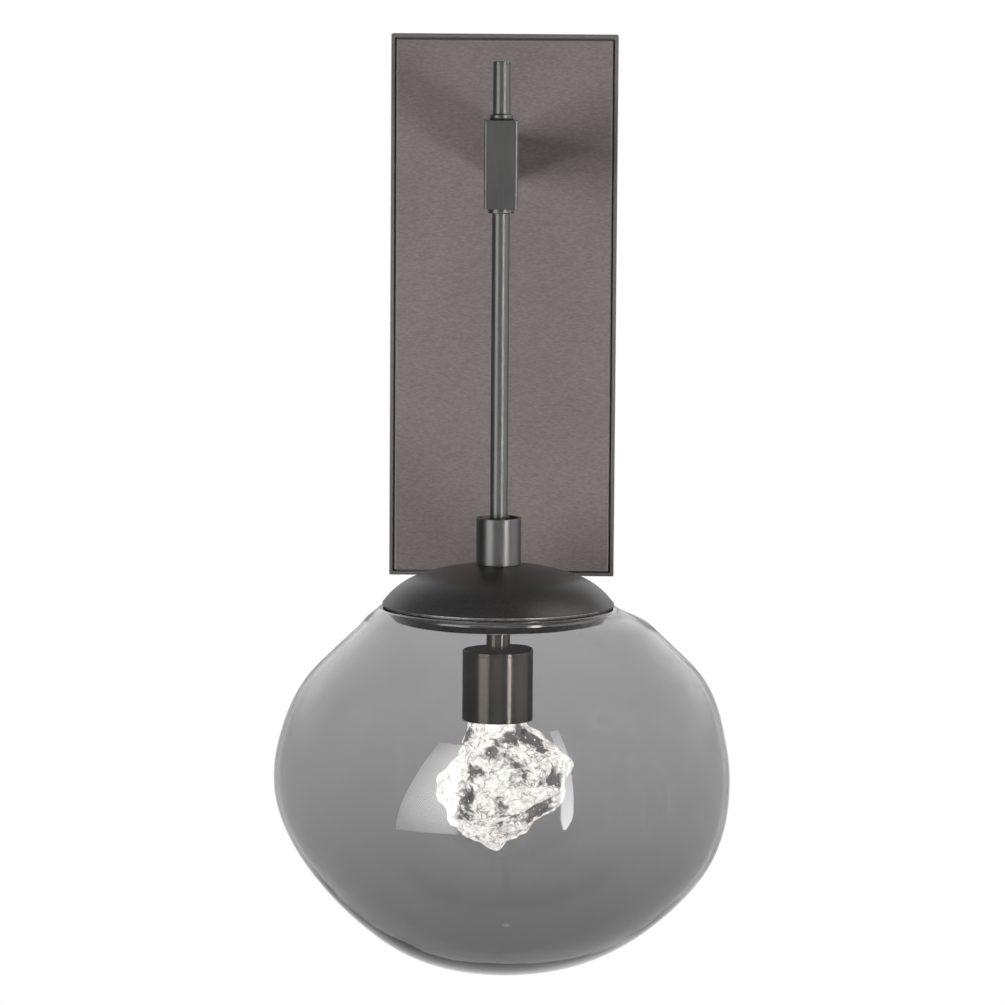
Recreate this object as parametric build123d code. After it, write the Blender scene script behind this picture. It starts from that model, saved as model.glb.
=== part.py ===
"""Wall sconce: a tall plate on the wall carries an arm, a block and a slim rod, and the rod hangs a
domed cap with a blown glass globe round a cast crystal lamp.

Millimetres. The origin is the middle of the plate on the wall. +Z is up, the front faces -Y and +X is
to the right seen from the front.
"""
import os
from math import acos, atan, atan2, cos, degrees, hypot, pi, radians, sin, sqrt, tan

from build123d import *

# Wall plate: a tray open to the wall, with a face plate set into its front behind a shadow gap
plate_w = 127.0
plate_h = 304.8
tray_depth = 25.4
tray_wall = 2.0
tray_floor_t = 2.0
face_t = 3.0
face_proud = 1.0
face_chamfer = 0.6
reveal = 1.0
face_stud_r = 2.0
face_stud_len = 9.0
face_stud_from_side = 23.5
face_stud_from_end = 42.4
face_nut_across = 7.0
face_nut_t = 3.2

# Mounting strap behind the plate, for a junction box
strap_h = 25.0
strap_t = 2.5
strap_ear = 18.0
slot_spacing = 88.9
slot_w = 5.0
slot_len = 14.0
side_screw_r = 2.0
side_screw_len = 9.0
side_screw_y = 12.0
ground_screw_r = 2.0
ground_head_r = 3.6
ground_head_t = 2.4
ground_screw_x = 20.0

# Arm from the plate to the rod
reach = 138.0
arm_z = 84.0
arm_w = 12.7
arm_h = 25.4
arm_tenon_r = 5.0
arm_tenon_len = 3.0
wire_bore_r = 2.75
nipple_r = 4.85
nipple_grip = 12.0
nipple_spare = 2.8
washer_r = 9.5
washer_t = 1.2
locknut_across = 16.0
locknut_t = 4.0

# Block on the end of the arm, with the rod standing in it
block_w = 18.0
block_d = 18.0
block_h = 47.4
block_chamfer = 0.8
bush_wall = 1.2
bush_len = 14.0
bush_flange_r = 7.0
bush_flange_t = 2.4
set_screw_r = 2.0
set_screw_below_top = 5.0

# Rod and the collar that stops it
rod_r = 4.7625
rod_above = 31.3
rod_below = 166.3
rod_grip = 12.5
rod_travel = 15.0
plug_t = 1.5
plug_len = 6.0
collar_r = 6.2
collar_t = 2.5
collar_chamfer = 0.5
collar_washer_r = 6.5
collar_washer_t = 0.8
collar_grub_r = 0.8

# Coupling between the rod and the cap
coupling_r = 12.2
coupling_h = 25.5
coupling_rim = 1.4
coupling_recess = 1.5
coupling_edge = 0.4
coupling_nipple_grip = 11.0

# Spun dome cap
cap_r = 62.6
cap_t = 1.5
cap_crown_r = 135.0
cap_crown_angle = 18.5
cap_rim_angle = 55.0
cap_land = 1.0
cap_seat_margin = 0.5
spacer_r = 8.0

# Blown glass globe
globe_r = 124.0
globe_side_r = 86.0
globe_rise = 94.1
globe_fall = 105.0
glass_wall = 3.0
mouth_r = 59.5
lip_round = 0.9
globe_lean = 1.6

# Fitter inside the mouth of the glass, and what holds the glass to it
mouth_clearance = 0.8
fitter_tuck = 1.5
fitter_h = 10.5
fitter_t = 1.5
fitter_wall = 2.2
fitter_taper = 2.7
ring_wire_r = 1.2
ring_out = 0.5
ring_split = 14.0
gasket_t = 0.8
gasket_inset = 0.4
gasket_w = 2.6

# Lampholder
stem_r = 6.35
stem_len = 20.8
stem_grip = 10.0
tenon_r = 4.6
socket_nut_across = 14.0
socket_nut_t = 3.0
cup_r = 19.1
cup_wall = 1.0
cup_h = 35.5
lid_t = 2.2
lid_round = 1.2
lid_spigot = 4.0
lid_spigot_wall = 4.0
holder_h = 27.3
holder_roof = 4.0
holder_gap = 0.5
shell_r = 13.9
shell_t = 0.5
shell_hole_r = 8.0
shell_len = 22.3
holder_screw_r = 1.2
holder_head_r = 1.6
holder_head_t = 1.5
contact_w = 6.0
contact_t = 0.6
contact_half = 5.6
contact_drop = 4.8

# Crystal lamp
lamp_contact_r = 4.0
lamp_contact_t = 1.4
insulator_top_r = 5.0
insulator_r = 10.5
insulator_h = 3.2
insulator_plug_r = 8.9
insulator_plug_len = 1.6
lamp_shell_r = 12.9
lamp_shell_t = 0.5
lamp_shell_len = 14.8
core_gap = 0.4
core_r = 6.0
core_len = 42.0
crystal_cavity_r = 9.0
crystal_cavity_len = 49.0
crystal_top_r = 14.5
crystal_neck_r = 16.2
crystal_neck_len = 6.2
crystal_r = 36.0
crystal_len = 69.6
crystal_belly = 0.47
crystal_lean = 4.5
crystal_side = 3.0
crystal_lump = 0.07
crystal_tip_r = 1.6
crystal_sides = 16
crystal_levels = 13

# Clearances
fit_gap = 0.05
press_gap = 0.02
seat_gap = 0.3
hole_gap = 0.2

# Heights and depths that follow from the sizes above
plate_front = -(tray_depth + face_proud)
floor_front = plate_front + face_t
floor_back = floor_front + tray_floor_t
face_stud_x = plate_w / 2 - face_stud_from_side
face_stud_z = face_stud_from_end - plate_h / 2
block_top = arm_z + block_h / 2
block_bottom = arm_z - block_h / 2
block_back = -reach + block_d / 2
rod_top = block_top + rod_above
coupling_top = block_bottom - rod_below
coupling_bottom = coupling_top - coupling_h
rod_bottom = coupling_top - rod_grip
collar_bottom = block_top + collar_washer_t
crown_centre = coupling_bottom - sqrt(cap_crown_r**2 - (coupling_r + cap_seat_margin) ** 2)
knuckle_start = cap_crown_r * sin(radians(cap_crown_angle))
knuckle_r = (cap_r - knuckle_start) / (sin(radians(cap_rim_angle)) - sin(radians(cap_crown_angle)))
knuckle_centre_r = knuckle_start - knuckle_r * sin(radians(cap_crown_angle))
knuckle_centre_z = crown_centre + (cap_crown_r - knuckle_r) * cos(radians(cap_crown_angle))
rim_z = knuckle_centre_z + knuckle_r * cos(radians(cap_rim_angle)) - cap_land
lip_z = rim_z - gasket_t - seat_gap
globe_z = lip_z - globe_rise
fitter_r = mouth_r - mouth_clearance
fitter_top = rim_z + fitter_tuck
fitter_bottom = fitter_top - fitter_h
stem_top = fitter_top - fitter_t - locknut_t
lid_top = stem_top - stem_len
cup_top = lid_top - lid_t
cup_bottom = cup_top - cup_h
holder_top = cup_top - lid_spigot
holder_bottom = holder_top - holder_h
shell_top = holder_top - holder_roof
lamp_top = shell_top - contact_drop - seat_gap
insulator_top = lamp_top - lamp_contact_t
lamp_shell_top = insulator_top - insulator_h
lamp_shell_bottom = lamp_shell_top - lamp_shell_len
crystal_mouth = lamp_shell_bottom - crystal_neck_len

rod_axis = Pos(0, -reach, 0)
out_of_wall = Rot(90, 0, 0)


def arc(centre, radius, start, end):
    """An arc about a (radius, height) centre between two angles in degrees from the horizontal."""
    points = []
    for angle in (start, (start + end) / 2, end):
        turn = radians(angle)
        points.append((centre[0] + radius * cos(turn), centre[1] + radius * sin(turn)))
    return ThreePointArc(*points)


def turned(*edges):
    """A solid turned about the rod axis from a closed outline of (radius, height) edges."""
    face = make_face(Plane.XZ * Curve(edges))
    return rod_axis * revolve(face, axis=Axis.Z)


def turned_points(*points):
    """A solid turned about the rod axis from straight runs between (radius, height) points."""
    return turned(*Polyline(*points, close=True).edges())


def tube(low, high, outer, inner):
    """A plain upright tube on the rod axis."""
    return turned_points((inner, low), (outer, low), (outer, high), (inner, high))


def rod_along_y(radius, back, front, x=0, z=0):
    """A round bar parallel to Y between two depths."""
    bar = Cylinder(radius, back - front, align=(Align.CENTER, Align.CENTER, Align.MIN))
    return Pos(x, back, z) * out_of_wall * bar


def rod_along_x(radius, low, high, y, z):
    """A round bar parallel to X between two places."""
    bar = Cylinder(radius, high - low, align=(Align.CENTER, Align.CENTER, Align.MIN))
    return Pos(low, y, z) * Rot(0, 90, 0) * bar


def hexagon(across, height, hole):
    """A hexagon nut standing on the XY plane."""
    flats = RegularPolygon(across / 2, 6, major_radius=False)
    return extrude(flats - Circle(hole), height)


def slab(width, height, front, back):
    """A rectangular slab parallel to the wall between two depths."""
    return Pos(0, (front + back) / 2, 0) * Box(width, back - front, height)


# Wall plate


inner_w = plate_w - 2 * tray_wall
inner_h = plate_h - 2 * tray_wall


def tray_rim():
    """Frame of the tray, from the wall to a lip round the face plate."""
    rim = slab(plate_w, plate_h, -tray_depth, 0) - slab(inner_w, inner_h, -tray_depth, 0)
    return rim - rod_along_x(side_screw_r + hole_gap, -plate_w / 2, plate_w / 2, -side_screw_y, 0)


def tray_floor():
    """Floor welded into the frame, which carries the face plate and the arm."""
    floor = slab(inner_w, inner_h, floor_front, floor_back)
    floor -= rod_along_y(nipple_r + hole_gap, floor_back, floor_front, z=arm_z)
    for side in (-1, 1):
        stud_x = side * face_stud_x
        floor -= rod_along_y(face_stud_r + hole_gap, floor_back, floor_front, stud_x, face_stud_z)
    return floor


def face_plate():
    width = plate_w - 2 * (tray_wall + reveal)
    height = plate_h - 2 * (tray_wall + reveal)
    face = slab(width, height, plate_front, floor_front)
    face = chamfer(face.faces().sort_by(Axis.Y)[0].edges(), face_chamfer)
    return face - rod_along_y(nipple_r + hole_gap, floor_front, plate_front, z=arm_z)


def face_studs():
    """Studs welded to the back of the face plate."""
    stud_end = floor_front + face_stud_len
    studs = []
    for side in (-1, 1):
        studs.append(rod_along_y(face_stud_r, stud_end, floor_front, side * face_stud_x, face_stud_z))
    return Compound(studs)


def face_nuts():
    nut = out_of_wall * hexagon(face_nut_across, face_nut_t, face_stud_r + fit_gap)
    nuts = []
    for side in (-1, 1):
        nuts.append(Pos(side * face_stud_x, floor_back + face_nut_t, face_stud_z) * nut)
    return Compound(nuts)


# Mounting strap


strap_half = plate_w / 2 - tray_wall - seat_gap


def mounting_strap():
    strap = slab(2 * strap_half, strap_h, -strap_t, 0)
    for side in (-1, 1):
        ear = Box(strap_t, strap_ear, strap_h)
        strap += Pos(side * (strap_half - strap_t / 2), -strap_ear / 2, 0) * ear
        slot = extrude(SlotOverall(slot_len, slot_w), strap_t)
        strap -= Pos(side * slot_spacing / 2, 0, 0) * out_of_wall * slot
    strap -= rod_along_x(side_screw_r + fit_gap, -strap_half, strap_half, -side_screw_y, 0)
    strap -= rod_along_y(ground_screw_r + fit_gap, 0, -strap_t, ground_screw_x)
    return strap


def ground_screw():
    screw = rod_along_y(ground_screw_r, -hole_gap, -strap_t, ground_screw_x)
    screw += rod_along_y(ground_head_r, -strap_t, -strap_t - ground_head_t, ground_screw_x)
    return screw


def tray_side_screws():
    outer = plate_w / 2 - hole_gap
    right = rod_along_x(side_screw_r, outer - side_screw_len, outer, -side_screw_y, 0)
    return Compound([right, mirror(right, Plane.YZ)])


# Arm


def arm_bar():
    length = block_back - plate_front
    bar = Pos(0, block_back - length / 2, arm_z) * Box(arm_w, -length, arm_h)
    bar += rod_along_y(arm_tenon_r, block_back, block_back - arm_tenon_len, z=arm_z)
    bar -= rod_along_y(wire_bore_r, plate_front, block_back - arm_tenon_len, z=arm_z)
    bar -= rod_along_y(nipple_r + fit_gap, plate_front, plate_front - nipple_grip, z=arm_z)
    return bar


def arm_nipple():
    back = floor_back + washer_t + locknut_t + nipple_spare
    front = plate_front - nipple_grip + seat_gap
    pipe = rod_along_y(nipple_r, back, front, z=arm_z)
    return pipe - rod_along_y(wire_bore_r, back, front, z=arm_z)


def arm_washer():
    back = floor_back + washer_t
    disc = rod_along_y(washer_r, back, floor_back, z=arm_z)
    return disc - rod_along_y(nipple_r + fit_gap, back, floor_back, z=arm_z)


def arm_locknut():
    nut = hexagon(locknut_across, locknut_t, nipple_r + fit_gap)
    return Pos(0, floor_back + washer_t + locknut_t, arm_z) * out_of_wall * nut


# Block and its bush


bush_r = rod_r + fit_gap + bush_wall


def clamp_block():
    block = Pos(0, -reach, arm_z) * Box(block_w, block_d, block_h)
    block = chamfer(block.edges().filter_by(Axis.Z), block_chamfer)
    block -= tube(block_bottom, block_top, rod_r + fit_gap, 0)
    block -= tube(block_bottom, block_bottom + bush_len, bush_r + press_gap, 0)
    block -= rod_along_y(arm_tenon_r + press_gap, block_back, block_back - arm_tenon_len, z=arm_z)
    block -= rod_along_y(wire_bore_r, block_back, -reach, z=arm_z)
    screw_z = block_top - set_screw_below_top
    block -= rod_along_y(set_screw_r + fit_gap, block_back, -reach, z=screw_z)
    return block


def rod_bush():
    sleeve = tube(block_bottom, block_bottom + bush_len, bush_r, rod_r + fit_gap)
    flange = tube(block_bottom - bush_flange_t, block_bottom, bush_flange_r, rod_r + fit_gap)
    return sleeve + flange


def rod_set_screw():
    tip = -reach + rod_r + 2 * fit_gap
    return rod_along_y(set_screw_r, block_back - hole_gap, tip, z=block_top - set_screw_below_top)


# Rod


def rod_tube():
    pipe = tube(rod_bottom, rod_top - plug_t, rod_r, wire_bore_r)
    slot_low = arm_z - wire_bore_r - rod_travel
    slot_high = arm_z + wire_bore_r
    slot = Box(2 * wire_bore_r, rod_r, slot_high - slot_low, align=(Align.CENTER, Align.MIN, Align.MIN))
    return pipe - Pos(0, -reach, slot_low) * slot


def rod_end_plug():
    head = tube(rod_top - plug_t, rod_top, rod_r, 0)
    return head + tube(rod_top - plug_t - plug_len, rod_top - plug_t, wire_bore_r - fit_gap, 0)


def stop_collar():
    ring = tube(collar_bottom, collar_bottom + collar_t, collar_r, rod_r + press_gap)
    ring = chamfer(ring.edges().group_by(Axis.Z)[-1].sort_by(SortBy.LENGTH)[-1], collar_chamfer)
    grub_hole = rod_along_y(collar_grub_r + press_gap, -reach + collar_r, -reach, z=collar_mid)
    return ring - grub_hole


collar_mid = collar_bottom + collar_t / 2


def collar_washer():
    return tube(block_top, collar_bottom, collar_washer_r, rod_r + fit_gap)


def collar_grub_screw():
    outer = -reach + collar_r - hole_gap
    return rod_along_y(collar_grub_r, outer, -reach + rod_r + fit_gap, z=collar_mid)


# Coupling and cap


def coupling():
    body = tube(coupling_bottom, coupling_top, coupling_r, 0)
    body = chamfer(body.edges().filter_by(GeomType.CIRCLE), coupling_edge)
    body -= tube(coupling_top - coupling_recess, coupling_top, coupling_r - coupling_rim, 0)
    body -= tube(rod_bottom, coupling_top, rod_r + press_gap, 0)
    body -= tube(coupling_bottom, coupling_bottom + coupling_nipple_grip, nipple_r + press_gap, 0)
    return body - tube(coupling_bottom, coupling_top, wire_bore_r, 0)


def fixture_nipple():
    top = coupling_bottom + coupling_nipple_grip - seat_gap
    return tube(stem_top - stem_grip + seat_gap, top, nipple_r, wire_bore_r)


def dome_cap():
    seat_r = coupling_r + cap_seat_margin
    seat_angle = degrees(atan2(coupling_bottom - crown_centre, seat_r))
    crown_end = 90 - cap_crown_angle
    knuckle_end = 90 - cap_rim_angle
    inner_seat_z = coupling_bottom - cap_t
    inner_crown_r = cap_crown_r - cap_t
    inner_seat_r = sqrt(inner_crown_r**2 - (inner_seat_z - crown_centre) ** 2)
    inner_seat_angle = degrees(atan2(inner_seat_z - crown_centre, inner_seat_r))
    inner_knuckle_r = knuckle_r - cap_t
    inner_rim_r = knuckle_centre_r + sqrt(inner_knuckle_r**2 - (rim_z - knuckle_centre_z) ** 2)
    inner_rim_angle = degrees(atan2(rim_z - knuckle_centre_z, inner_rim_r - knuckle_centre_r))
    hole_r = nipple_r + hole_gap
    knuckle_centre = (knuckle_centre_r, knuckle_centre_z)
    return turned(
        Line((hole_r, coupling_bottom), (seat_r, coupling_bottom)),
        arc((0, crown_centre), cap_crown_r, seat_angle, crown_end),
        arc(knuckle_centre, knuckle_r, crown_end, knuckle_end),
        Line((cap_r, rim_z + cap_land), (cap_r, rim_z)),
        Line((cap_r, rim_z), (inner_rim_r, rim_z)),
        arc(knuckle_centre, inner_knuckle_r, inner_rim_angle, crown_end),
        arc((0, crown_centre), inner_crown_r, crown_end, inner_seat_angle),
        Line((inner_seat_r, inner_seat_z), (hole_r, inner_seat_z)),
        Line((hole_r, inner_seat_z), (hole_r, coupling_bottom)),
    )


def rim_gasket():
    outer = cap_r - gasket_inset
    return tube(rim_z - gasket_t, rim_z, outer, outer - gasket_w)


def cap_spacer():
    return tube(fitter_top, coupling_bottom - cap_t, spacer_r, nipple_r + fit_gap)


# Glass globe and its fitter


side_centre = (globe_r - globe_side_r, globe_z)


def shoulder_angle():
    """Angle at which the straight inner shoulder leaves the inner side arc on its way to the mouth."""
    across = mouth_r - side_centre[0]
    distance = hypot(across, globe_rise)
    inner_side_r = globe_side_r - glass_wall
    return degrees(atan2(globe_rise, across) - acos(inner_side_r / distance))


def globe_curves(inset):
    """The bottom arc and side arc of the glass, moved in by a distance, and the shoulder's two ends."""
    offset = globe_r - globe_side_r
    join = 90 - 2 * degrees(atan((globe_fall - globe_side_r) / offset))
    rise = shoulder_angle()
    bottom_centre = (0, globe_z + offset * tan(radians(join)))
    bottom_r = globe_side_r + offset / cos(radians(join)) - inset
    side_r = globe_side_r - inset
    bottom = arc(bottom_centre, bottom_r, -90, -join)
    side = arc(side_centre, side_r, -join, rise)
    start = (side_centre[0] + side_r * cos(radians(rise)), globe_z + side_r * sin(radians(rise)))
    end = (start[0] - (lip_z - start[1]) * tan(radians(rise)), lip_z)
    return bottom, side, start, end


def glass_globe():
    """The blown glass, turned and then pushed aside by its lean, so the belly hangs off the mouth's centre."""
    bottom, side, shoulder, lip = globe_curves(0)
    inner_bottom, inner_side, inner_shoulder, inner_lip = globe_curves(glass_wall)
    globe = turned(
        bottom,
        side,
        Line(shoulder, lip),
        Line(lip, inner_lip),
        Line(inner_lip, inner_shoulder),
        inner_side,
        inner_bottom,
        Line(inner_bottom @ 0, bottom @ 0),
    )
    globe = fillet(globe.edges().group_by(Axis.Z)[-1], lip_round)
    lean = tan(radians(globe_lean))
    aside = Matrix([[1, 0, -lean, lean * lip_z], [0, 1, 0, 0], [0, 0, 1, 0]])
    return globe.transform_geometry(aside)


ring_centre_r = fitter_r + ring_out
ring_rise = radians(shoulder_angle())
ring_hang = (ring_wire_r + seat_gap + (ring_centre_r - mouth_r) * cos(ring_rise)) / sin(ring_rise)
ring_z = lip_z - ring_hang


def glass_fitter():
    inner = fitter_r - fitter_wall
    taper_top = ring_z - 2 * ring_wire_r
    pan = turned_points(
        (nipple_r + hole_gap, fitter_top),
        (fitter_r, fitter_top),
        (fitter_r, taper_top),
        (fitter_r - fitter_taper, fitter_bottom),
        (inner - fitter_taper, fitter_bottom),
        (inner, taper_top),
        (inner, fitter_top - fitter_t),
        (nipple_r + hole_gap, fitter_top - fitter_t),
    )
    groove = Plane.XZ * Pos(ring_centre_r, ring_z) * Circle(ring_wire_r + fit_gap)
    return pan - rod_axis * revolve(groove, axis=Axis.Z)


def retaining_ring():
    wire = Plane.XZ * Pos(ring_centre_r, ring_z) * Circle(ring_wire_r)
    ring = revolve(wire, axis=Axis.Z, revolution_arc=360 - ring_split)
    return rod_axis * Rot(0, 0, 90 + ring_split / 2) * ring


def fitter_nut():
    nut = hexagon(locknut_across, locknut_t, nipple_r + fit_gap)
    return rod_axis * Pos(0, 0, stem_top) * nut


# Lampholder


tenon_end = holder_top + core_gap


def socket_stem():
    stem = tube(lid_top, stem_top, stem_r, wire_bore_r)
    stem += tube(tenon_end, lid_top, tenon_r, wire_bore_r)
    return stem - tube(stem_top - stem_grip, stem_top, nipple_r + press_gap, 0)


def socket_lid():
    spigot_r = cup_r - cup_wall - fit_gap
    disc = tube(cup_top, lid_top, cup_r, tenon_r + fit_gap)
    disc = fillet(disc.edges().group_by(Axis.Z)[-1].sort_by(SortBy.LENGTH)[-1], lid_round)
    lid = disc + tube(holder_top, cup_top, spigot_r, spigot_r - lid_spigot_wall)
    for hole in holder_screw_places():
        lid -= hole * Cylinder(holder_screw_r + fit_gap, 2 * lid_spigot)
    return lid


def socket_nut():
    nut = hexagon(socket_nut_across, socket_nut_t, tenon_r + fit_gap)
    return rod_axis * Pos(0, 0, cup_top - socket_nut_t) * nut


def socket_cup():
    return tube(cup_bottom, cup_top, cup_r, cup_r - cup_wall)


holder_r = cup_r - cup_wall - holder_gap
holder_bore = shell_r + fit_gap
holder_screw_ring = (holder_r + holder_bore) / 2


def holder_screw_places():
    return [rod_axis * Pos(side * holder_screw_ring, 0, holder_top) for side in (-1, 1)]


def lampholder_body():
    body = tube(holder_bottom, holder_top, holder_r, 0)
    body -= tube(holder_bottom, shell_top, holder_bore, 0)
    for place in holder_screw_places():
        body -= place * Cylinder(holder_screw_r + fit_gap, 2 * holder_h)
        head = Cylinder(holder_head_r + fit_gap, 2 * holder_head_t)
        body -= place * Pos(0, 0, -holder_h) * head
    return body


def lampholder_screws():
    shank_len = holder_h - holder_head_t + lid_spigot - 2 * core_gap
    upright = (Align.CENTER, Align.CENTER, Align.MIN)
    screw = Cylinder(holder_head_r, holder_head_t, align=upright)
    screw += Pos(0, 0, holder_head_t) * Cylinder(holder_screw_r, shank_len, align=upright)
    return Compound([place * Pos(0, 0, -holder_h) * screw for place in holder_screw_places()])


def screw_shell():
    low = shell_top - shell_len
    return turned_points(
        (shell_hole_r, shell_top),
        (shell_r, shell_top),
        (shell_r, low),
        (shell_r - shell_t, low),
        (shell_r - shell_t, shell_top - shell_t),
        (shell_hole_r, shell_top - shell_t),
    )


def centre_contact():
    """A strip folded back under itself, so that its lower leaf springs against the lamp."""
    high = shell_top
    low = shell_top - contact_drop
    outline = Polyline(
        (-contact_half, high),
        (contact_half, high),
        (contact_half, low),
        (-contact_half / 2, low),
        (-contact_half / 2, low + contact_t),
        (contact_half - contact_t, low + contact_t),
        (contact_half - contact_t, high - contact_t),
        (-contact_half, high - contact_t),
        close=True,
    )
    strip = extrude(Plane.XZ * make_face(outline), contact_w / 2, both=True)
    return rod_axis * strip


# Crystal lamp


def lamp_contact():
    return tube(insulator_top, lamp_top, lamp_contact_r, 0)


def lamp_insulator():
    plug_end = lamp_shell_top - insulator_plug_len
    return turned_points(
        (0, insulator_top),
        (insulator_top_r, insulator_top),
        (insulator_r, lamp_shell_top),
        (insulator_plug_r, lamp_shell_top),
        (insulator_plug_r, plug_end),
        (0, plug_end),
    )


def lamp_shell():
    hole_r = insulator_plug_r + fit_gap
    return turned_points(
        (hole_r, lamp_shell_top),
        (lamp_shell_r, lamp_shell_top),
        (lamp_shell_r, lamp_shell_bottom),
        (lamp_shell_r - lamp_shell_t, lamp_shell_bottom),
        (lamp_shell_r - lamp_shell_t, lamp_shell_top - lamp_shell_t),
        (hole_r, lamp_shell_top - lamp_shell_t),
    )


def led_core():
    puck_top = lamp_shell_top - insulator_plug_len - core_gap
    puck_r = lamp_shell_r - lamp_shell_t - hole_gap
    core = tube(lamp_shell_bottom, puck_top, puck_r, 0)
    core += tube(lamp_shell_bottom - core_len, lamp_shell_bottom, core_r, 0)
    return core + rod_axis * Pos(0, 0, lamp_shell_bottom - core_len) * Sphere(core_r)


def crystal_radius(share):
    """Mean radius of the crystal: a quarter sine wave out to its belly, a quarter cosine in to its tip."""
    if share < crystal_belly:
        swell = sin(pi / 2 * share / crystal_belly)
        return crystal_neck_r + (crystal_r - crystal_neck_r) * swell
    fall = cos(pi / 2 * (share - crystal_belly) / (1 - crystal_belly))
    return crystal_tip_r + (crystal_r - crystal_tip_r) * fall


def crystal_section(share):
    """One lumpy level of the crystal: a many-sided ring whose corners swell and sink in waves."""
    points = []
    for corner in range(crystal_sides):
        turn = 2 * pi * corner / crystal_sides
        waves = sin(3 * turn + 11 * share) + 0.8 * sin(5 * turn - 17 * share) + 0.6 * sin(7 * turn + 29 * share)
        fade = sin(pi * share)
        radius = crystal_radius(share) * (1 + crystal_lump * fade * waves)
        points.append((radius * cos(turn), radius * sin(turn)))
    ring = make_face(Polyline(*points, close=True))
    shift = crystal_lean * sin(2 * pi * share) + crystal_side * sin(pi * share)
    return Pos(shift, 0, crystal_mouth - share * crystal_len) * ring


def crystal_bulb():
    shares = [level / (crystal_levels - 1) for level in range(crystal_levels)]
    lump = rod_axis * loft([crystal_section(share) for share in shares], ruled=True)
    neck_r = crystal_neck_r * cos(pi / crystal_sides)
    neck = turned_points(
        (0, lamp_shell_bottom),
        (crystal_top_r, lamp_shell_bottom),
        (neck_r, crystal_mouth),
        (0, crystal_mouth),
    )
    cavity = tube(lamp_shell_bottom - crystal_cavity_len, lamp_shell_bottom, crystal_cavity_r, 0)
    return lump + neck - cavity


pieces = [
    tray_rim,
    tray_floor,
    face_plate,
    face_studs,
    face_nuts,
    mounting_strap,
    ground_screw,
    tray_side_screws,
    arm_bar,
    arm_nipple,
    arm_washer,
    arm_locknut,
    clamp_block,
    rod_bush,
    rod_set_screw,
    rod_tube,
    rod_end_plug,
    stop_collar,
    collar_washer,
    collar_grub_screw,
    coupling,
    fixture_nipple,
    dome_cap,
    rim_gasket,
    cap_spacer,
    glass_globe,
    glass_fitter,
    retaining_ring,
    fitter_nut,
    socket_stem,
    socket_lid,
    socket_nut,
    socket_cup,
    lampholder_body,
    lampholder_screws,
    screw_shell,
    centre_contact,
    lamp_contact,
    lamp_insulator,
    lamp_shell,
    led_core,
    crystal_bulb,
]

os.makedirs("parts", exist_ok=True)
for piece in pieces:
    export_step(piece(), f"parts/{piece.__name__}.step")
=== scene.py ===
"""Wall sconce: finished surfaces, materials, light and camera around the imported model."""
from math import atan, atan2, cos, degrees, hypot, pi, radians, sin, sqrt, tan

import bmesh
import bpy
import numpy as np
from bpy.props import FloatProperty, FloatVectorProperty, PointerProperty
from bpy.types import Operator, Panel, PropertyGroup
from mathutils import Matrix, Vector


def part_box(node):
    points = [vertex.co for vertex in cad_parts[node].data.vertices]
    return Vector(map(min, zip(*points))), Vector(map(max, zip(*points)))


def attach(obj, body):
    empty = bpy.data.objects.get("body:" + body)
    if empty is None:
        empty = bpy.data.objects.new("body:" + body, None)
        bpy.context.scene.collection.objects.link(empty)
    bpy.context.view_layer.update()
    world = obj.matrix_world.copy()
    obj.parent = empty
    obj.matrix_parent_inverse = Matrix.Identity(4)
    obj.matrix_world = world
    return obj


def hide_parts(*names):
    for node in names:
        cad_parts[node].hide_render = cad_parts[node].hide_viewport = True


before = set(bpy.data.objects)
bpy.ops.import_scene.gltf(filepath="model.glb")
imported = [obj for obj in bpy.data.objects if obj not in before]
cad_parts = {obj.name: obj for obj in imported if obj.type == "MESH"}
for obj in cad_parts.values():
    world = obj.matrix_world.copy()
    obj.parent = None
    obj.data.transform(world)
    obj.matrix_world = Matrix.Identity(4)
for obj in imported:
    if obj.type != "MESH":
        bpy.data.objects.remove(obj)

bl_info = {
    "name": "Wall sconce",
    "version": (1, 0, 0),
    "blender": (4, 5, 0),
    "location": "3D View > Sidebar > Sconce",
    "description": "Builds the finished surfaces of a wall sconce with a smoked glass globe",
    "category": "Object",
}

MM = 0.001
WHITE = (1, 1, 1, 1)
WELD = 1e-7  # points closer than this are one, in metres
SHARP = 32  # edges above this angle in degrees stay sharp
WIRE_BORE, PIPE, PIPE_HOLE = 2.75 * MM, 4.9 * MM, 5.05 * MM  # radii
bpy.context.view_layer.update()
rod_low, rod_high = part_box("rod_tube")
AXIS = ((rod_low.x + rod_high.x) / 2, (rod_low.y + rod_high.y) / 2)


# Properties


def length(name, value, description):
    """A length that a user may change, given here in millimetres."""
    return FloatProperty(name=name, description=description, default=value * MM, unit="LENGTH",
                         subtype="DISTANCE")


def angle(name, value, description):
    """An angle that a user may change, given here in degrees."""
    return FloatProperty(name=name, description=description, default=radians(value), subtype="ANGLE")


def colour(name, value, description):
    """A linear colour that a user may change."""
    return FloatVectorProperty(name=name, description=description, default=value, min=0, max=1,
                               subtype="COLOR")


def number(name, value, description):
    """A plain number that a user may change."""
    return FloatProperty(name=name, description=description, default=value)


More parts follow.
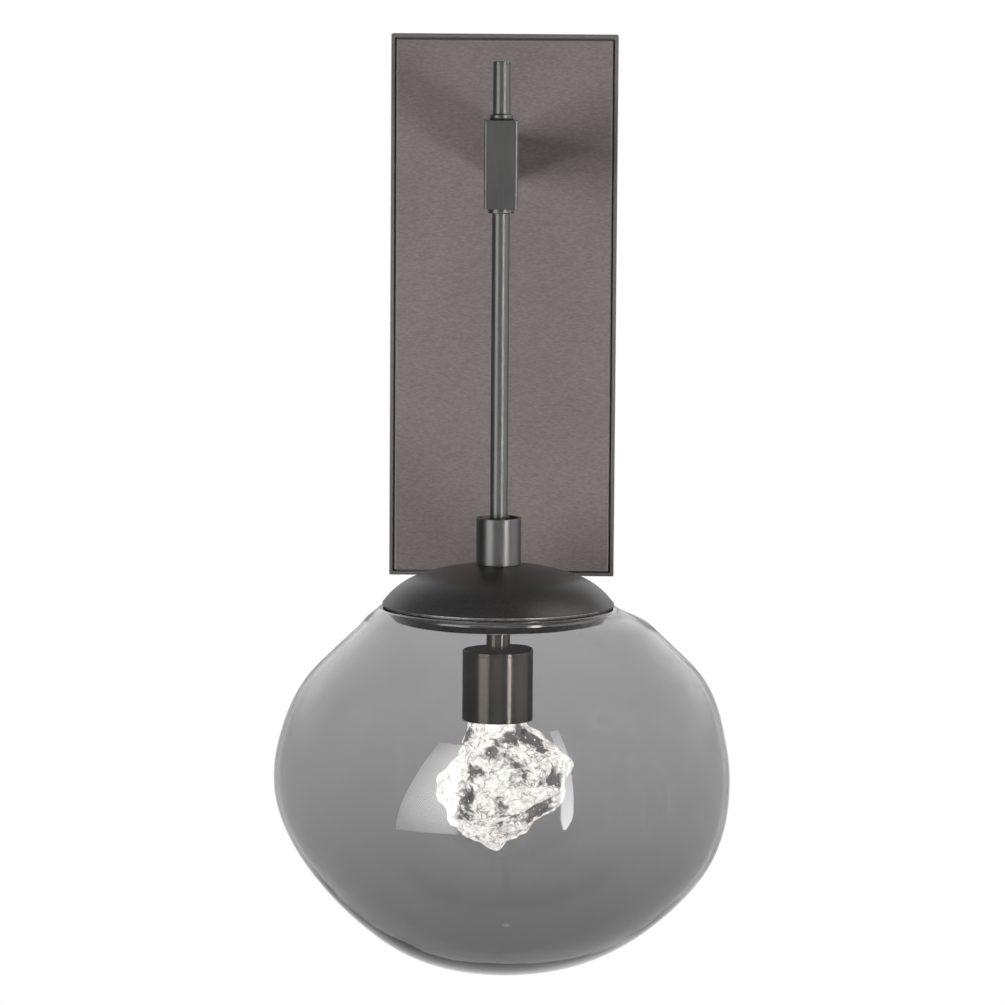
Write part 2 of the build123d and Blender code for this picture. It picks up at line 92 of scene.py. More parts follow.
class SconceSizes(PropertyGroup):
    """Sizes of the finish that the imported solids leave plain."""

    edge: length("Edge rounding", 0.3, "Rounding of machined edges")
    tray_wall: length("Tray wall", 2, "Thickness of the wall tray's sides and floor")
    reveal_depth: length("Reveal depth", 2, "Depth of the gap round the face plate")
    block_chamfer: length("Block chamfer", 0.8, "Chamfer on the upright edges of the block")
    crown_radius: length("Crown radius", 135, "Radius of the cap's flat crown")
    crown_angle: angle("Crown angle", 18.5, "Slope at which the crown turns into the knuckle")
    rim_angle: angle("Rim angle", 55, "Slope of the cap just above its rim")
    cap_wall: length("Cap wall", 1.5, "Thickness of the spun cap")
    cap_land: length("Rim land", 1, "Upright edge at the rim of the cap")
    globe_side: length("Globe side radius", 86, "Radius of the globe's side in section")
    glass_wall: length("Glass wall", 3, "Thickness of the blown glass")
    glass_foot: length("Extra glass below", 2.8, "Extra thickness where the glass gathers at the bottom")
    glass_mouth: length("Mouth radius", 59.5, "Inside radius of the globe's mouth")
    globe_shift: length("Globe shift", 3.4, "How far the globe hangs to the right of its mouth")
    globe_shoulder: length("Globe shoulder", 3.3, "Extra fullness of the shoulder under the mouth")
    globe_bulge: length("Globe bulge", 2.2, "Further fullness of the shoulder on the right")
    globe_flat: length("Globe flat", 1.8, "Depth of the flattened place at the lower left")
    globe_ripple: length("Globe ripple", 0.5, "Depth of the slow ripples in the blown glass")
    thread_pitch: length("Thread pitch", 0.94, "Pitch of the pipe nipples' threads")
    crystal_lump: length("Crystal lump", 2.6, "Height of the crystal's larger lumps")
    crystal_chip: length("Crystal chip", 1.1, "Height of the crystal's small chips")


class SconceFinishes(PropertyGroup):
    """Colours of the finishes, linear."""

    plate: colour("Plate", (0.207, 0.179, 0.172), "Satin bronze grey of the wall plate")
    # The tray's colour is the plate's bronze painted darker, as shade on the rim round the plate
    tray: colour("Tray", (0.150, 0.138, 0.134), "Darker bronze grey of the tray round the plate")
    gunmetal: colour("Gunmetal", (0.150, 0.148, 0.147), "Arm, block, rod and coupling")
    cap: colour("Cap", (0.112, 0.108, 0.107), "Spun dome cap")
    fitter: colour("Fitter", (0.42, 0.412, 0.40), "Polished pan in the mouth of the glass")
    socket: colour("Socket", (0.340, 0.318, 0.275), "Bronze of the lampholder's cup")
    lid: colour("Lid", (0.036, 0.034, 0.030), "Blackened lid of the lampholder")
    zinc: colour("Zinc", (0.56, 0.57, 0.58), "Plated hardware")
    brass: colour("Brass", (0.72, 0.52, 0.22), "Lamp shell and contacts")
    nylon: colour("Nylon", (0.012, 0.012, 0.013), "Washer and seal")
    phenolic: colour("Phenolic", (0.035, 0.030, 0.027), "Insulating body of the lampholder")
    earth: colour("Earth screw", (0.03, 0.26, 0.07), "Green earth screw")
    smoke: colour("Smoke", (0.52, 0.515, 0.52), "What one wall of the glass lets through")
    crystal: colour("Crystal", (0.96, 0.965, 0.97), "Cast crystal")
    # Also the colour of the crystal's painted glow
    light: colour("Lamp light", (1.0, 0.965, 0.91), "Light of the lamp's core")


class SconceStage(PropertyGroup):
    """Light and floor."""

    floor_drop: length("Floor depth", 1250, "Floor below the middle of the plate")
    floor_radius: length("Floor radius", 950, "Radius of the floor")
    ambient: number("Ambient", 0.02, "Light from all round on matt surfaces")
    window: number("Window card", 12.0, "Brightness of the left card in the glass")
    strip: number("Strip card", 14.0, "Brightness of the right cards in reflections")
    left: number("Left card", 2.4, "Brightness of the card that metal shows on its left")
    front: number("Front card", 0.4, "Brightness of the card that metal shows in front")
    high: number("High card", 1.3, "Brightness of the high card on the right")
    near: number("Left light", 40.0, "Brightness of the light on the left")
    fill: number("Low light", 59.0, "Brightness of the low light on the right")
    top: number("Top light", 6.0, "Brightness of the light above and behind")
    lamp: number("Lamp", 2.0, "Brightness of the lamp's core")


# Surfaces: a profile is rows of (across, along, wear and highlight), a shell is a grid of (x, y, z, wear and
# highlight); that last value makes metal edges lighter, partly as wear and partly as a painted highlight


def eased(outline, ease, unit=1.0, steps=4):
    """A closed outline with every corner rounded: a corner gives way to a quadratic curve from a point
    one ease before it to a point one ease after it, at most 0.45 of the shorter side. The wear and highlight
    value is 1 in the middle of a rounded corner and 0 at its ends; it lightens the edge, partly as wear and
    partly as a painted highlight."""
    corner = np.asarray(outline, float)
    before = np.roll(corner, 1, axis=0) - corner
    after = np.roll(corner, -1, axis=0) - corner
    back, ahead = np.linalg.norm(before, axis=1), np.linalg.norm(after, axis=1)
    reach = np.minimum(np.multiply(ease, unit), 0.45 * np.minimum(back, ahead))[:, None]
    start = corner + before / back[:, None] * reach
    end = corner + after / ahead[:, None] * reach
    t = np.linspace(0, 1, steps + 1)[None, :, None]
    curve = (1 - t) ** 2 * start[:, None] + 2 * t * (1 - t) * corner[:, None] + t**2 * end[:, None]
    wear_and_highlight = np.broadcast_to(4 * t * (1 - t) * (reach[:, None] > 0), curve[..., :1].shape)
    return np.concatenate([curve, wear_and_highlight], axis=2).reshape(-1, 3)


def arc(centre, radius, start, end, count):
    """Points on an arc about a (radius, height) centre between two angles in degrees, with a wear and
    highlight value of 0.
    """
    turn = np.radians(np.linspace(start, end, count))
    return np.stack([centre[0] + radius * np.cos(turn), centre[1] + radius * np.sin(turn), 0 * turn], axis=1)


def step(t):
    """A smooth step from 0 to 1 while t goes from 0 to 1."""
    t = np.clip(t, 0, 1)
    return t * t * (3 - 2 * t)


def circle(count):
    """Turns round a full circle, as one row."""
    return np.linspace(0, 2 * pi, count, endpoint=False)[None, :]


def about_axis(radius, height, turn, wear_and_highlight=0.0):
    """A shell round the rod axis: x and y are the radius times the cosine and sine of the turn."""
    x, y = AXIS[0] + radius * np.cos(turn), AXIS[1] + radius * np.sin(turn)
    return np.stack(np.broadcast_arrays(x, y, height, wear_and_highlight), axis=2)


def turned(profile, count=160):
    """A profile of (radius, height) turned round the rod axis."""
    radius, height, wear_and_highlight = (profile[:, i : i + 1] for i in range(3))
    return about_axis(radius, height, circle(count), wear_and_highlight)


def threaded(low, high, radius, bore, pitch, depth, count=64):
    """A tube with a screw thread outside: the radius drops by a cosine wave of the height over the pitch
    less the turn, and fades out at both ends."""
    height = np.linspace(low, high, int((high - low) / pitch * 10) + 2)[:, None]
    turn, ends = circle(count), np.full((1, count), bore)
    fade = np.clip(np.minimum(height - low, high - height) / pitch, 0, 1)
    drop = depth * (1 - fade * np.cos(2 * pi * height / pitch - turn)) / 2
    radius = np.vstack([ends, radius - drop, ends])
    return about_axis(radius, np.vstack([height[:1], height, height[-1:]]), turn)


def hex_nut(low, high, across, bore, count=96):
    """A hexagon nut about an upright axis: the outer radius is half the width over the cosine of the turn
    within its flat, and both ends drop by 0.55 of what the corners stand out past the flats."""
    turn, flat = circle(count), across / 2
    out = flat / np.cos((turn + pi / 6) % (pi / 3) - pi / 6)
    drop, face, even = 0.55 * (out - flat), 0.97 * flat, np.ones_like(turn)
    radius = np.vstack([bore * even, face * even, out, out, face * even, bore * even])
    height = np.vstack([high * even, high * even, high - drop, low + drop, low * even, low * even])
    return about_axis(radius, height, turn)


def carried(path, profile):
    """A profile of (inset, along) carried round a closed path: each point of the path is drawn in towards
    the middle by the inset, measured on both half widths. The third axis is the distance along."""
    half = np.abs(path[:, :2]).max(axis=0)
    inset, along, wear_and_highlight = (profile[:, i : i + 1] for i in range(3))
    u = path[None, :, 0] * (1 - inset / half[0])
    v = path[None, :, 1] * (1 - np.minimum(inset, half[0]) / half[1])
    # Points near the outline keep a full value: lighter edges, partly wear and partly painted highlight
    worn_and_highlit = np.maximum(wear_and_highlight, path[None, :, 2] * (inset < 0.3 * MM))
    return np.stack(np.broadcast_arrays(u, v, along, worn_and_highlit), axis=2)


def facing(path, profile, z):
    """A profile carried round a path that faces the wall, with its middle at a height."""
    return carried(path, profile)[..., [0, 2, 1, 3]] + (0, 0, z, 0)


def rectangle(width, height, corner, ease):
    """A closed rectangular path with cut corners, each new corner rounded."""
    u, v, c = width / 2, height / 2, corner
    points = [(u, c - v), (u, v - c), (u - c, v), (c - u, v),
              (-u, v - c), (-u, c - v), (c - u, -v), (u - c, -v)]
    return eased(points, ease)


def lying(shell, x, z):
    """A shell made upright on the rod axis, laid along the depth axis at a place on the plate."""
    across, up = shell[..., 0] - AXIS[0] + x, z + shell[..., 1] - AXIS[1]
    return np.stack([across, shell[..., 2], up, shell[..., 3]], axis=2)


def pair(shell, x, z):
    """A lying shell on the left and on the right."""
    return [lying(shell, side * x, z) for side in (-1, 1)]


def span(node):
    """Radius, lowest and highest height of a node turned about the rod axis."""
    low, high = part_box(node)
    return (high.x - low.x) / 2, low.z, high.z


def tube(low, high, radius, bore, ease):
    """Profile of a plain tube with rounded edges."""
    return eased([(bore, low), (radius, low), (radius, high), (bore, high)], ease)


# Pieces


def grid_faces(rows, columns, first, capped=False):
    """Quads of a grid that closes on itself both ways, or only round its columns where its first and last
    rows are caps that meet in their own middle, numbered from a first vertex."""
    i, j = np.arange(rows - capped)[:, None], np.arange(columns)[None, :]
    below, beside = (i + 1) % rows, (j + 1) % columns
    quads = [i * columns + j, i * columns + beside, below * columns + beside, below * columns + j]
    return first + np.stack(quads, axis=2).reshape(-1, 4)


def welded(points, quads):
    """Vertices that share a place become one; a quad that loses a corner becomes a triangle, and one that
    loses two goes."""
    keys = np.round(points[:, :3] / WELD).astype(np.int64)
    _, kept, index = np.unique(keys, axis=0, return_index=True, return_inverse=True)
    quads = index.reshape(-1)[quads]
    same = quads == np.roll(quads, -1, axis=1)
    lost = same.sum(axis=1)
    whole, short = quads[lost == 0], lost == 1
    columns = (same[short].argmax(axis=1)[:, None] + np.arange(1, 4)[None, :]) % 4
    triangles = np.take_along_axis(quads[short], columns, axis=1)
    distinct = triangles[:, 0] != triangles[:, 2]
    crossed = (whole[:, 0] == whole[:, 2]) | (whole[:, 1] == whole[:, 3])
    return points[kept], whole[~crossed].tolist() + triangles[distinct].tolist()


def new_object(name, shells, finish, sharp=SHARP, capped=False):
    """One object from closed grids, with outward faces and the wear and painted highlight value of each
    point.
    """
    points, quads, first = [], [], 0
    for shell in shells:
        rows, columns = shell.shape[:2]
        points.append(shell.reshape(-1, 4))
        quads.append(grid_faces(rows, columns, first, capped))
        first += rows * columns
    points, faces = welded(np.vstack(points), np.vstack(quads))
    mesh = bpy.data.meshes.new(name)
    mesh.from_pydata(points[:, :3].tolist(), [], faces)
    edge = mesh.attributes.new("edge", "FLOAT", "POINT")
    edge.data.foreach_set("value", points[:, 3].astype(np.float32))
    shape = bmesh.new()
    shape.from_mesh(mesh)
    bmesh.ops.delete(shape, geom=[v for v in shape.verts if not v.link_faces], context="VERTS")
    bmesh.ops.recalc_face_normals(shape, faces=shape.faces)
    shape.to_mesh(mesh)
    shape.free()
    mesh.materials.append(finish)
    smooth(mesh, sharp)
    thing = bpy.data.objects.new(name, mesh)
    bpy.context.scene.collection.objects.link(thing)
    return thing


def smooth(mesh, sharp):
    """Smooth shading that breaks at edges sharper than an angle in degrees."""
    mesh.shade_smooth()
    mesh.set_sharp_from_angle(angle=radians(sharp))


def level(piece):
    """Normals weighted by area, so that a flat face shades flat up to its rounded edges."""
    weighted = piece.modifiers.new("level", "WEIGHTED_NORMAL")
    weighted.mode, weighted.keep_sharp = "FACE_AREA", True


def add_piece(name, shells, finish, body, slot, *nodes, sharp=SHARP, capped=False):
    """A piece that rides on a body in place of some CAD nodes, or else of the node with its own name."""
    piece = new_object(name, shells, finish_of(finish), sharp, capped)
    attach(piece, body)
    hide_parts(*(nodes or [name]))
    level(piece)
    return piece


def drill(piece, shell):
    """Cuts a closed shell out of a piece."""
    piece.modifiers.clear()
    cutter = new_object("drill", [shell], piece.data.materials[0])
    cut = piece.modifiers.new("hole", "BOOLEAN")
    cut.object, cut.solver = cutter, "EXACT"
    bpy.context.view_layer.update()
    view = bpy.context.evaluated_depsgraph_get()
    holed = bpy.data.meshes.new_from_object(piece.evaluated_get(view))
    piece.modifiers.clear()
    whole, tool, piece.data = piece.data, cutter.data, holed
    bpy.data.objects.remove(cutter)
    for mesh in (whole, tool):
        bpy.data.meshes.remove(mesh)
    piece.data.name = piece.name
    smooth(piece.data, SHARP)
    level(piece)


def screw_hole(node, back, clearance, count):
    """A cutter for a screw that goes in from the back, from the screw's tip to a depth behind it."""
    low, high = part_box(node)
    bore = turned(tube(low.y, back, (high.x - low.x) / 2 + clearance, 0, 0), count)
    return lying(bore, 0, (low.z + high.z) / 2)


def dress(finish, *nodes):
    """Gives CAD nodes that stay a finish."""
    for node in nodes:
        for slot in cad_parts[node].material_slots:
            slot.material = finish_of(finish)


# Materials


def new_finish(name):
    """An empty material with its shader."""
    finish = bpy.data.materials.new(name)
    finish.use_nodes = True
    return finish, finish.node_tree, finish.node_tree.nodes["Principled BSDF"]


def feed(tree, node, inputs):
    """Sets a node's inputs; one that is given a socket is linked."""
    for key, value in inputs.items():
        if isinstance(value, bpy.types.NodeSocket):
            tree.links.new(value, node.inputs[key])
        else:
            node.inputs[key].default_value = value


def add_node(tree, kind, inputs=None, **settings):
    """A shader node with settings and inputs."""
    node = tree.nodes.new("ShaderNode" + kind)
    for key, value in settings.items():
        setattr(node, key, value)
    feed(tree, node, inputs or {})
    return node


def show(tree, shader):
    """Makes a shader what the material shows."""
    tree.links.new(shader, tree.nodes["Material Output"].inputs["Surface"])


def either(tree, share, first, second):
    """Two shaders mixed."""
    return add_node(tree, "MixShader", {0: share, 1: first, 2: second}).outputs["Shader"]


def emission(tree, shade, strength):
    """A shader that glows."""
    return add_node(tree, "Emission", {"Color": shade, "Strength": strength}).outputs["Emission"]


def maths(tree, operation, *values):
    """The result of a sum on sockets or numbers."""
    return add_node(tree, "Math", dict(enumerate(values)), operation=operation).outputs["Value"]


def remap(tree, value, low, high, to_low=0.0, to_high=1.0, **settings):
    """A value's range moved onto another one and held at its ends."""
    inputs = {"Value": value, "From Min": low, "From Max": high, "To Min": to_low, "To Max": to_high}
    return add_node(tree, "MapRange", inputs, **settings).outputs["Result"]


def spread(tree, value, low, high):
    """A noise value from 0.3 to 0.7 spread over a new range."""
    return remap(tree, value, 0.3, 0.7, low, high)


def noise(tree, vector, scale, detail=3.0, rough=0.55):
    """A noise value on a pattern's coordinates."""
    inputs = {"Vector": vector, "Scale": scale, "Detail": detail, "Roughness": rough}
    return add_node(tree, "TexNoise", inputs).outputs["Fac"]


def bump(tree, height, distance, strength):
    """A normal from a height."""
    inputs = {"Height": height, "Distance": distance, "Strength": strength}
    return add_node(tree, "Bump", inputs).outputs["Normal"]


def tint(values, share=1.0):
    """A colour as four values, made darker or lighter by a share."""
    return (*(min(1.0, value * share) for value in values), 1.0)


def ramp(tree, factor, stops):
    """A colour ramp of stops, each a place and a colour or a grey."""
    node = add_node(tree, "ValToRGB", {"Fac": factor})
    elements = node.color_ramp.elements
    while len(elements) < len(stops):
        elements.new(1.0)
    for element, (place, shade) in zip(elements, stops.items()):
        element.position = place
        element.color = (shade, shade, shade, 1) if np.isscalar(shade) else shade
    return node.outputs["Color"]


def blend(tree, kind, share, first, second):
    """Two colours mixed. A mix node takes its colours at inputs 6 and 7 and gives one at output 2."""
    inputs = {"Factor": share, 6: first, 7: second}
    return add_node(tree, "Mix", inputs, data_type="RGBA", blend_type=kind).outputs[2]


def product(tree, *shades):
    """Colours multiplied."""
    first, *others = shades
    for other in others:
        first = blend(tree, "MULTIPLY", 1.0, first, other)
    return first


def separated(tree, vector):
    """The three parts of a vector."""
    return add_node(tree, "SeparateXYZ", {"Vector": vector}).outputs


def object_place(tree):
    """Object coordinates."""
    return add_node(tree, "TexCoord").outputs["Object"]


def upright_radius(tree, parts):
    """Distance of a separated place from the upright axis."""
    flat = add_node(tree, "CombineXYZ", {"X": parts["X"], "Y": parts["Y"]}).outputs["Vector"]
    return add_node(tree, "VectorMath", {0: flat}, operation="LENGTH").outputs["Value"]


def pattern(tree, stretch=(1, 1, 1), spun=False):
    """Object coordinates centred on the rod axis, stretched for a brushed grain, or read as radius and
    height for the rings of a spun or turned surface."""
    centre = {"Vector": object_place(tree), "Location": (-AXIS[0], -AXIS[1], 0)}
    moved = add_node(tree, "Mapping", centre).outputs["Vector"]
    if spun:
        parts = separated(tree, moved)
        rings = {"X": upright_radius(tree, parts), "Z": parts["Z"]}
        return moved, add_node(tree, "CombineXYZ", rings).outputs["Vector"]
    return moved, add_node(tree, "Mapping", {"Vector": moved, "Scale": stretch}).outputs["Vector"]


def metal(name, shade, rough, metallic=1.0, mottle=0.12, grain=0.05, grain_scale=1500, stretch=(1, 1, 1),
          spun=False, depth=0.02 * MM, wear_and_highlight=1.6, specular=0.5):
    """A metal finish: a slow mottle and a fine grain in the colour, brushed or turned lines in the gloss and
    the surface, and rounded edges made lighter where the edge attribute says so, partly as rubbed wear and
    partly as a painted highlight."""
    finish, tree, shader = new_finish(name)
    place, lines = pattern(tree, stretch, spun)
    cloud, fine = noise(tree, place, 22, 4), noise(tree, lines, grain_scale, 2, 0.6)
    base = ramp(tree, cloud, {0.3: tint(shade, 1 - mottle), 0.7: tint(shade, 1 + mottle)})
    base = product(tree, base, ramp(tree, fine, {0.3: 1 - grain, 0.7: 1 + grain}))
    edge = add_node(tree, "Attribute", attribute_name="edge").outputs["Fac"]
    # Lighter rounded edges: partly rubbed wear, partly a painted highlight
    rubbed_and_highlit = maths(tree, "MULTIPLY", edge, spread(tree, noise(tree, place, 260, 3), 0.1, 0.9))
    gloss = spread(tree, cloud, rough - 0.04, rough + 0.04)
    feed(tree, shader, {
        "Base Color": blend(tree, "MIX", rubbed_and_highlit, base, tint(shade, wear_and_highlight)),
        "Roughness": maths(tree, "ADD", spread(tree, fine, -0.05, 0.05), gloss),
        "Normal": bump(tree, fine, depth, 0.6),
        "Metallic": metallic,
        "Specular IOR Level": specular,
    })
    return finish


def moulded(name, shade, rough):
    """A matt moulded finish with a fine orange-peel surface."""
    return metal(name, shade, rough, 0.0, 0.15, 0.08, 900, depth=0.03 * MM, wear_and_highlight=1.4)


def lid_bronze(shade, side):
    """The lid's finish: dull on top, and polished like the cup round its edge."""
    rough, rim_rough, rim_metallic = 0.5, 0.15, 0.95
    finish = metal("lid bronze", shade, rough, 0.0, 0.12, 0.05, 1800, spun=True, depth=0.002 * MM, wear_and_highlight=2.6,
                   specular=0.12)
    tree = finish.node_tree
    shader = tree.nodes["Principled BSDF"]
    _, rings = pattern(tree, spun=True)
    radius, edge = separated(tree, rings)["X"], span("socket_lid")[0]
    zone = (radius, edge - 0.8 * MM, edge - 0.2 * MM)
    base = shader.inputs["Base Color"].links[0].from_socket
    feed(tree, shader, {
        "Base Color": blend(tree, "MIX", remap(tree, *zone), base, tint(side)),
        "Metallic": remap(tree, *zone, 0.0, rim_metallic),
        "Roughness": remap(tree, *zone, rough, rim_rough),
    })
    return finish


def clear_glass(name, rough, index, shade_metal=False):
    """A glass shader that lets lamps through: a shadow or matt ray meets a plain tinted film, and so, for a
    globe, does a ray that rough metal inside it reflects."""
    finish, tree, shader = new_finish(name)
    feed(tree, shader, {"Transmission Weight": 1.0, "Roughness": rough, "IOR": index})
    path = add_node(tree, "LightPath").outputs
    plain = maths(tree, "MAXIMUM", path["Is Shadow Ray"], path["Is Diffuse Ray"])
    if shade_metal:
        clear = maths(tree, "MAXIMUM", path["Is Singular Ray"], path["Is Transmission Ray"])
        plain = maths(tree, "MAXIMUM", plain, maths(tree, "SUBTRACT", path["Is Glossy Ray"], clear))
    film = add_node(tree, "BsdfTransparent")
    show(tree, either(tree, plain, shader.outputs["BSDF"], film.outputs["BSDF"]))
    return finish, tree, shader, film


def smoked_glass(shade):
    """Smoked blown glass: the tint deepens towards the bottom and lightens towards the top, partly for the
    glass that gathers at the bottom and partly as painted shade low down and painted light high up, with
    faint swirls and cords in the tint and slow ripples in the surface."""
    finish, tree, shader, film = clear_glass("smoked glass", 0.0, 1.5, True)
    place, _ = pattern(tree)
    low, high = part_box("glass_globe")
    height = remap(tree, separated(tree, place)["Z"], low.z, high.z)
    # Tint by height: thicker glass at the bottom, and painted shade low down and painted light high up
    tint_with_painted_shade = {0.0: 0.69, 0.12: 0.74, 0.3: 0.93, 0.48: 1.06, 0.8: 1.19, 1.0: 1.29}
    base = ramp(tree, height, {at: tint(shade, share) for at, share in tint_with_painted_shade.items()})
    swirl = ramp(tree, noise(tree, place, 11, 5, 0.6), {0.3: 0.94, 0.7: 1.0})
    bend = {"Vector": place, "Scale": 12.0, "Detail": 1.0, "Distortion": 1.2}
    bend = add_node(tree, "TexNoise", bend).outputs["Fac"]
    ridge = maths(tree, "ABSOLUTE", maths(tree, "SUBTRACT", bend, 0.47))
    base = product(tree, base, swirl, ramp(tree, ridge, {0.0: 1.0, 0.012: 0.955}))
    ripple = bump(tree, noise(tree, place, 26, 2), 0.4 * MM, 0.25)
    feed(tree, shader, {"Base Color": base, "Normal": ripple})
    feed(tree, film, {"Color": base})
    return finish


def crystal_painted_glow(shade, light):
    """Cast crystal with painted inner light: an emission pattern of bright patches, grey windows painted for
    the smoke seen through it, curling seams, fine grey cracks between its grains and a few painted hot
    glints."""
    finish, tree, shader, film = clear_glass("cast crystal", 0.02, 1.5)
    place, _ = pattern(tree)
    warp, reach = {"Vector": place, "Scale": 60.0, "Detail": 3.0}, (0.012, 0.012, 0.012)
    bend = add_node(tree, "TexNoise", warp).outputs["Color"]
    bend = add_node(tree, "VectorMath", {0: bend, 1: reach}, operation="MULTIPLY").outputs["Vector"]
    bent = add_node(tree, "VectorMath", {0: place, 1: bend}, operation="ADD").outputs["Vector"]
    # Patches painted as glowing from inside; the windows between them are painted grey
    painted_glow_patches = ramp(tree, noise(tree, bent, 64, 5, 0.62), {0.40: 0.0, 0.43: 0.5, 0.47: 1.0})
    waves = maths(tree, "ABSOLUTE", maths(tree, "SUBTRACT", noise(tree, bent, 130, 3, 0.5), 0.5))
    curls = ramp(tree, waves, {0.0: 0.25, 0.035: 1.0})
    cells = {"Vector": bent, "Scale": 190.0}
    grains = add_node(tree, "TexVoronoi", cells, feature="DISTANCE_TO_EDGE").outputs["Distance"]
    cracks = ramp(tree, grains, {0.0: 0.75, 0.05: 1.0})
    clouds = ramp(tree, noise(tree, bent, 320, 4, 0.65), {0.34: 0.5, 0.58: 1.0})
    # Painted glow: 1 where the crystal is painted as lit white from inside, less in seams, cracks and windows
    white = product(tree, product(tree, painted_glow_patches, cracks), product(tree, curls, clouds))
    painted_glints = ramp(tree, noise(tree, bent, 800, 2, 0.5), {0.68: 0.0, 0.72: 3.0})
    feed(tree, film, {"Color": tint(shade)})
    feed(tree, shader, {
        # Painted light and shade in the base colour: grey in the windows, near white in the glowing patches
        "Base Color": blend(tree, "MIX", white, tint(shade, 0.22), tint(shade)),
        "Transmission Weight": 0.35,
        "Roughness": spread(tree, noise(tree, place, 420, 3), 0.0, 0.12),
        "Normal": bump(tree, white, 0.8 * MM, 0.5),
        "Emission Color": tint(light),
        # Painted glow: the crystal itself emits in place of the core's light passing through it, plus painted
        # glints
        "Emission Strength": maths(tree, "MULTIPLY_ADD", white, 1.45, painted_glints),
    })
    return finish


def lamp_core(light, strength):
    """The lit core of the lamp, with the fine dots of its coating."""
    finish, tree, shader = new_finish("lamp core")
    dots = noise(tree, pattern(tree)[0], 700, 2)
    feed(tree, shader, {
        "Base Color": ramp(tree, dots, {0.3: (0.85, 0.8, 0.62, 1), 0.7: (0.95, 0.93, 0.85, 1)}),
        "Roughness": 0.6,
        "Emission Color": tint(light),
        "Emission Strength": spread(tree, dots, strength * 0.9, strength * 1.1),
    })
    return finish


# Roughness, metallic, mottle, grain and the grain's scale follow each metal's name and colour
FINISHES = {
    "plate": lambda shade: metal("plate bronze", shade.plate, 0.36, 0.05, 0.05, 0.16, 1500, (0.3, 1, 1),
                                 depth=0.005 * MM, wear_and_highlight=1.25, specular=0.18),
    # Painted shade: the tray's darker colour stands for shade on its rim
    "tray": lambda shade: metal("tray bronze", shade.tray, 0.45, 0.2, 0.06, 0.2, 1500, depth=0.004 * MM,
                                wear_and_highlight=1.3),
    "gunmetal": lambda shade: metal("gunmetal", shade.gunmetal, 0.36, 0.9, 0.05, 0.05, 1600, (1, 1, 0.03),
                                    depth=0.003 * MM),
    "turned": lambda shade: metal("turned gunmetal", shade.gunmetal, 0.36, 0.95, 0.05, 0.03, 2200, spun=True,
                                  depth=0.002 * MM),
    # The cap's rim edge is painted up to six times lighter: a painted highlight line along the rim
    "cap": lambda shade: metal("spun cap", shade.cap, 0.36, 0.72, 0.10, 0.22, 1500, depth=0.004 * MM, wear_and_highlight=6),
    "fitter": lambda shade: metal("polished pan", shade.fitter, 0.17, 1.0, 0.15, 0.12, 600, spun=True,
                                  depth=0.004 * MM),
    "socket": lambda shade: metal("socket bronze", shade.socket, 0.2, 0.95, 0.12, 0.05, 1800, spun=True,
                                  depth=0.002 * MM),
    "lid": lambda shade: lid_bronze(shade.lid, shade.socket),
    "zinc": lambda shade: metal("zinc plate", shade.zinc, 0.36, 1.0, 0.12, 0.05, 900),
    "brass": lambda shade: metal("bright brass", shade.brass, 0.25, 1.0, 0.08, 0.05, 1200, spun=True),
    "nylon": lambda shade: moulded("black nylon", shade.nylon, 0.5),
    "phenolic": lambda shade: moulded("phenolic", shade.phenolic, 0.45),
    "earth": lambda shade: metal("earth screw", shade.earth, 0.4, 0.3),
    "smoke": lambda shade: smoked_glass(shade.smoke),
    "crystal": lambda shade: crystal_painted_glow(shade.crystal, shade.light),
    "core": lambda shade: lamp_core(shade.light, bpy.context.scene.sconce_stage.lamp),
}
made = {}


def finish_of(name):
    """A finish by its short name, made at its first use."""
    if name not in made:
        made[name] = FINISHES[name](bpy.context.scene.sconce_finishes)
    return made[name]


# Wall plate and arm


class SCONCE_OT_wall_plate(Operator):
    """Tray with its face plate set in behind a shadow gap"""

    bl_idname = "sconce.wall_plate"
    bl_label = "Wall plate"

    def execute(self, context):
        sizes = context.scene.sconce_sizes
        low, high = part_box("tray_rim")
        path = rectangle(high.x - low.x, high.z - low.z, corner=0.5 * MM, ease=0.3 * MM)
        middle, wall, groove = high.x, sizes.tray_wall, low.y + sizes.reveal_depth
        rim = eased([(middle, groove), (wall, groove), (wall, low.y), (0, low.y), (0, high.y), (wall, high.y),
                     (wall, groove + wall), (middle, groove + wall)],
                    [0, 0.2, 1, 1.3, 1, 1, 0.2, 0], sizes.edge)
        tray = add_piece("wall_tray", [facing(path, rim, (low.z + high.z) / 2)], "tray", "bracket",
                         "plate_bronze", "tray_rim", "tray_floor", capped=True)
        screw_low, screw_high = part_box("tray_side_screws")
        radius = (screw_high.z - screw_low.z) / 2 + 0.2 * MM
        inside, outside = high.x - 4 * MM, high.x + 2 * MM
        bore = turned(tube(inside, outside, radius, 0, 0), 48)
        x, y, along, wear_and_highlight = np.moveaxis(bore, 2, 0)
        y = y - AXIS[1] + (screw_low.y + screw_high.y) / 2
        for side in (-1, 1):
            drill(tray, np.stack([side * along, y, x - AXIS[0], wear_and_highlight], axis=2))
        low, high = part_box("face_plate")
        path = rectangle(high.x - low.x, high.z - low.z, corner=0.4 * MM, ease=0.25 * MM)
        middle, cut = high.x, 2 * sizes.edge
        plate = eased([(middle, low.y), (cut, low.y), (0, low.y + cut), (0, high.y), (middle, high.y)],
                      [0, 1, 1, 0.5, 0], sizes.edge)
        plate = facing(path, plate, (low.z + high.z) / 2)
        add_piece("face_plate", [plate], "plate", "bracket", "plate_bronze", capped=True)
        low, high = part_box("face_studs")
        radius = (high.z - low.z) / 2
        stud = threaded(low.y, high.y, radius, 0, pitch=0.7 * MM, depth=0.35 * MM, count=40)
        add_piece("face_studs", pair(stud, high.x - radius, (low.z + high.z) / 2), "zinc", "bracket", "zinc")
        return {"FINISHED"}


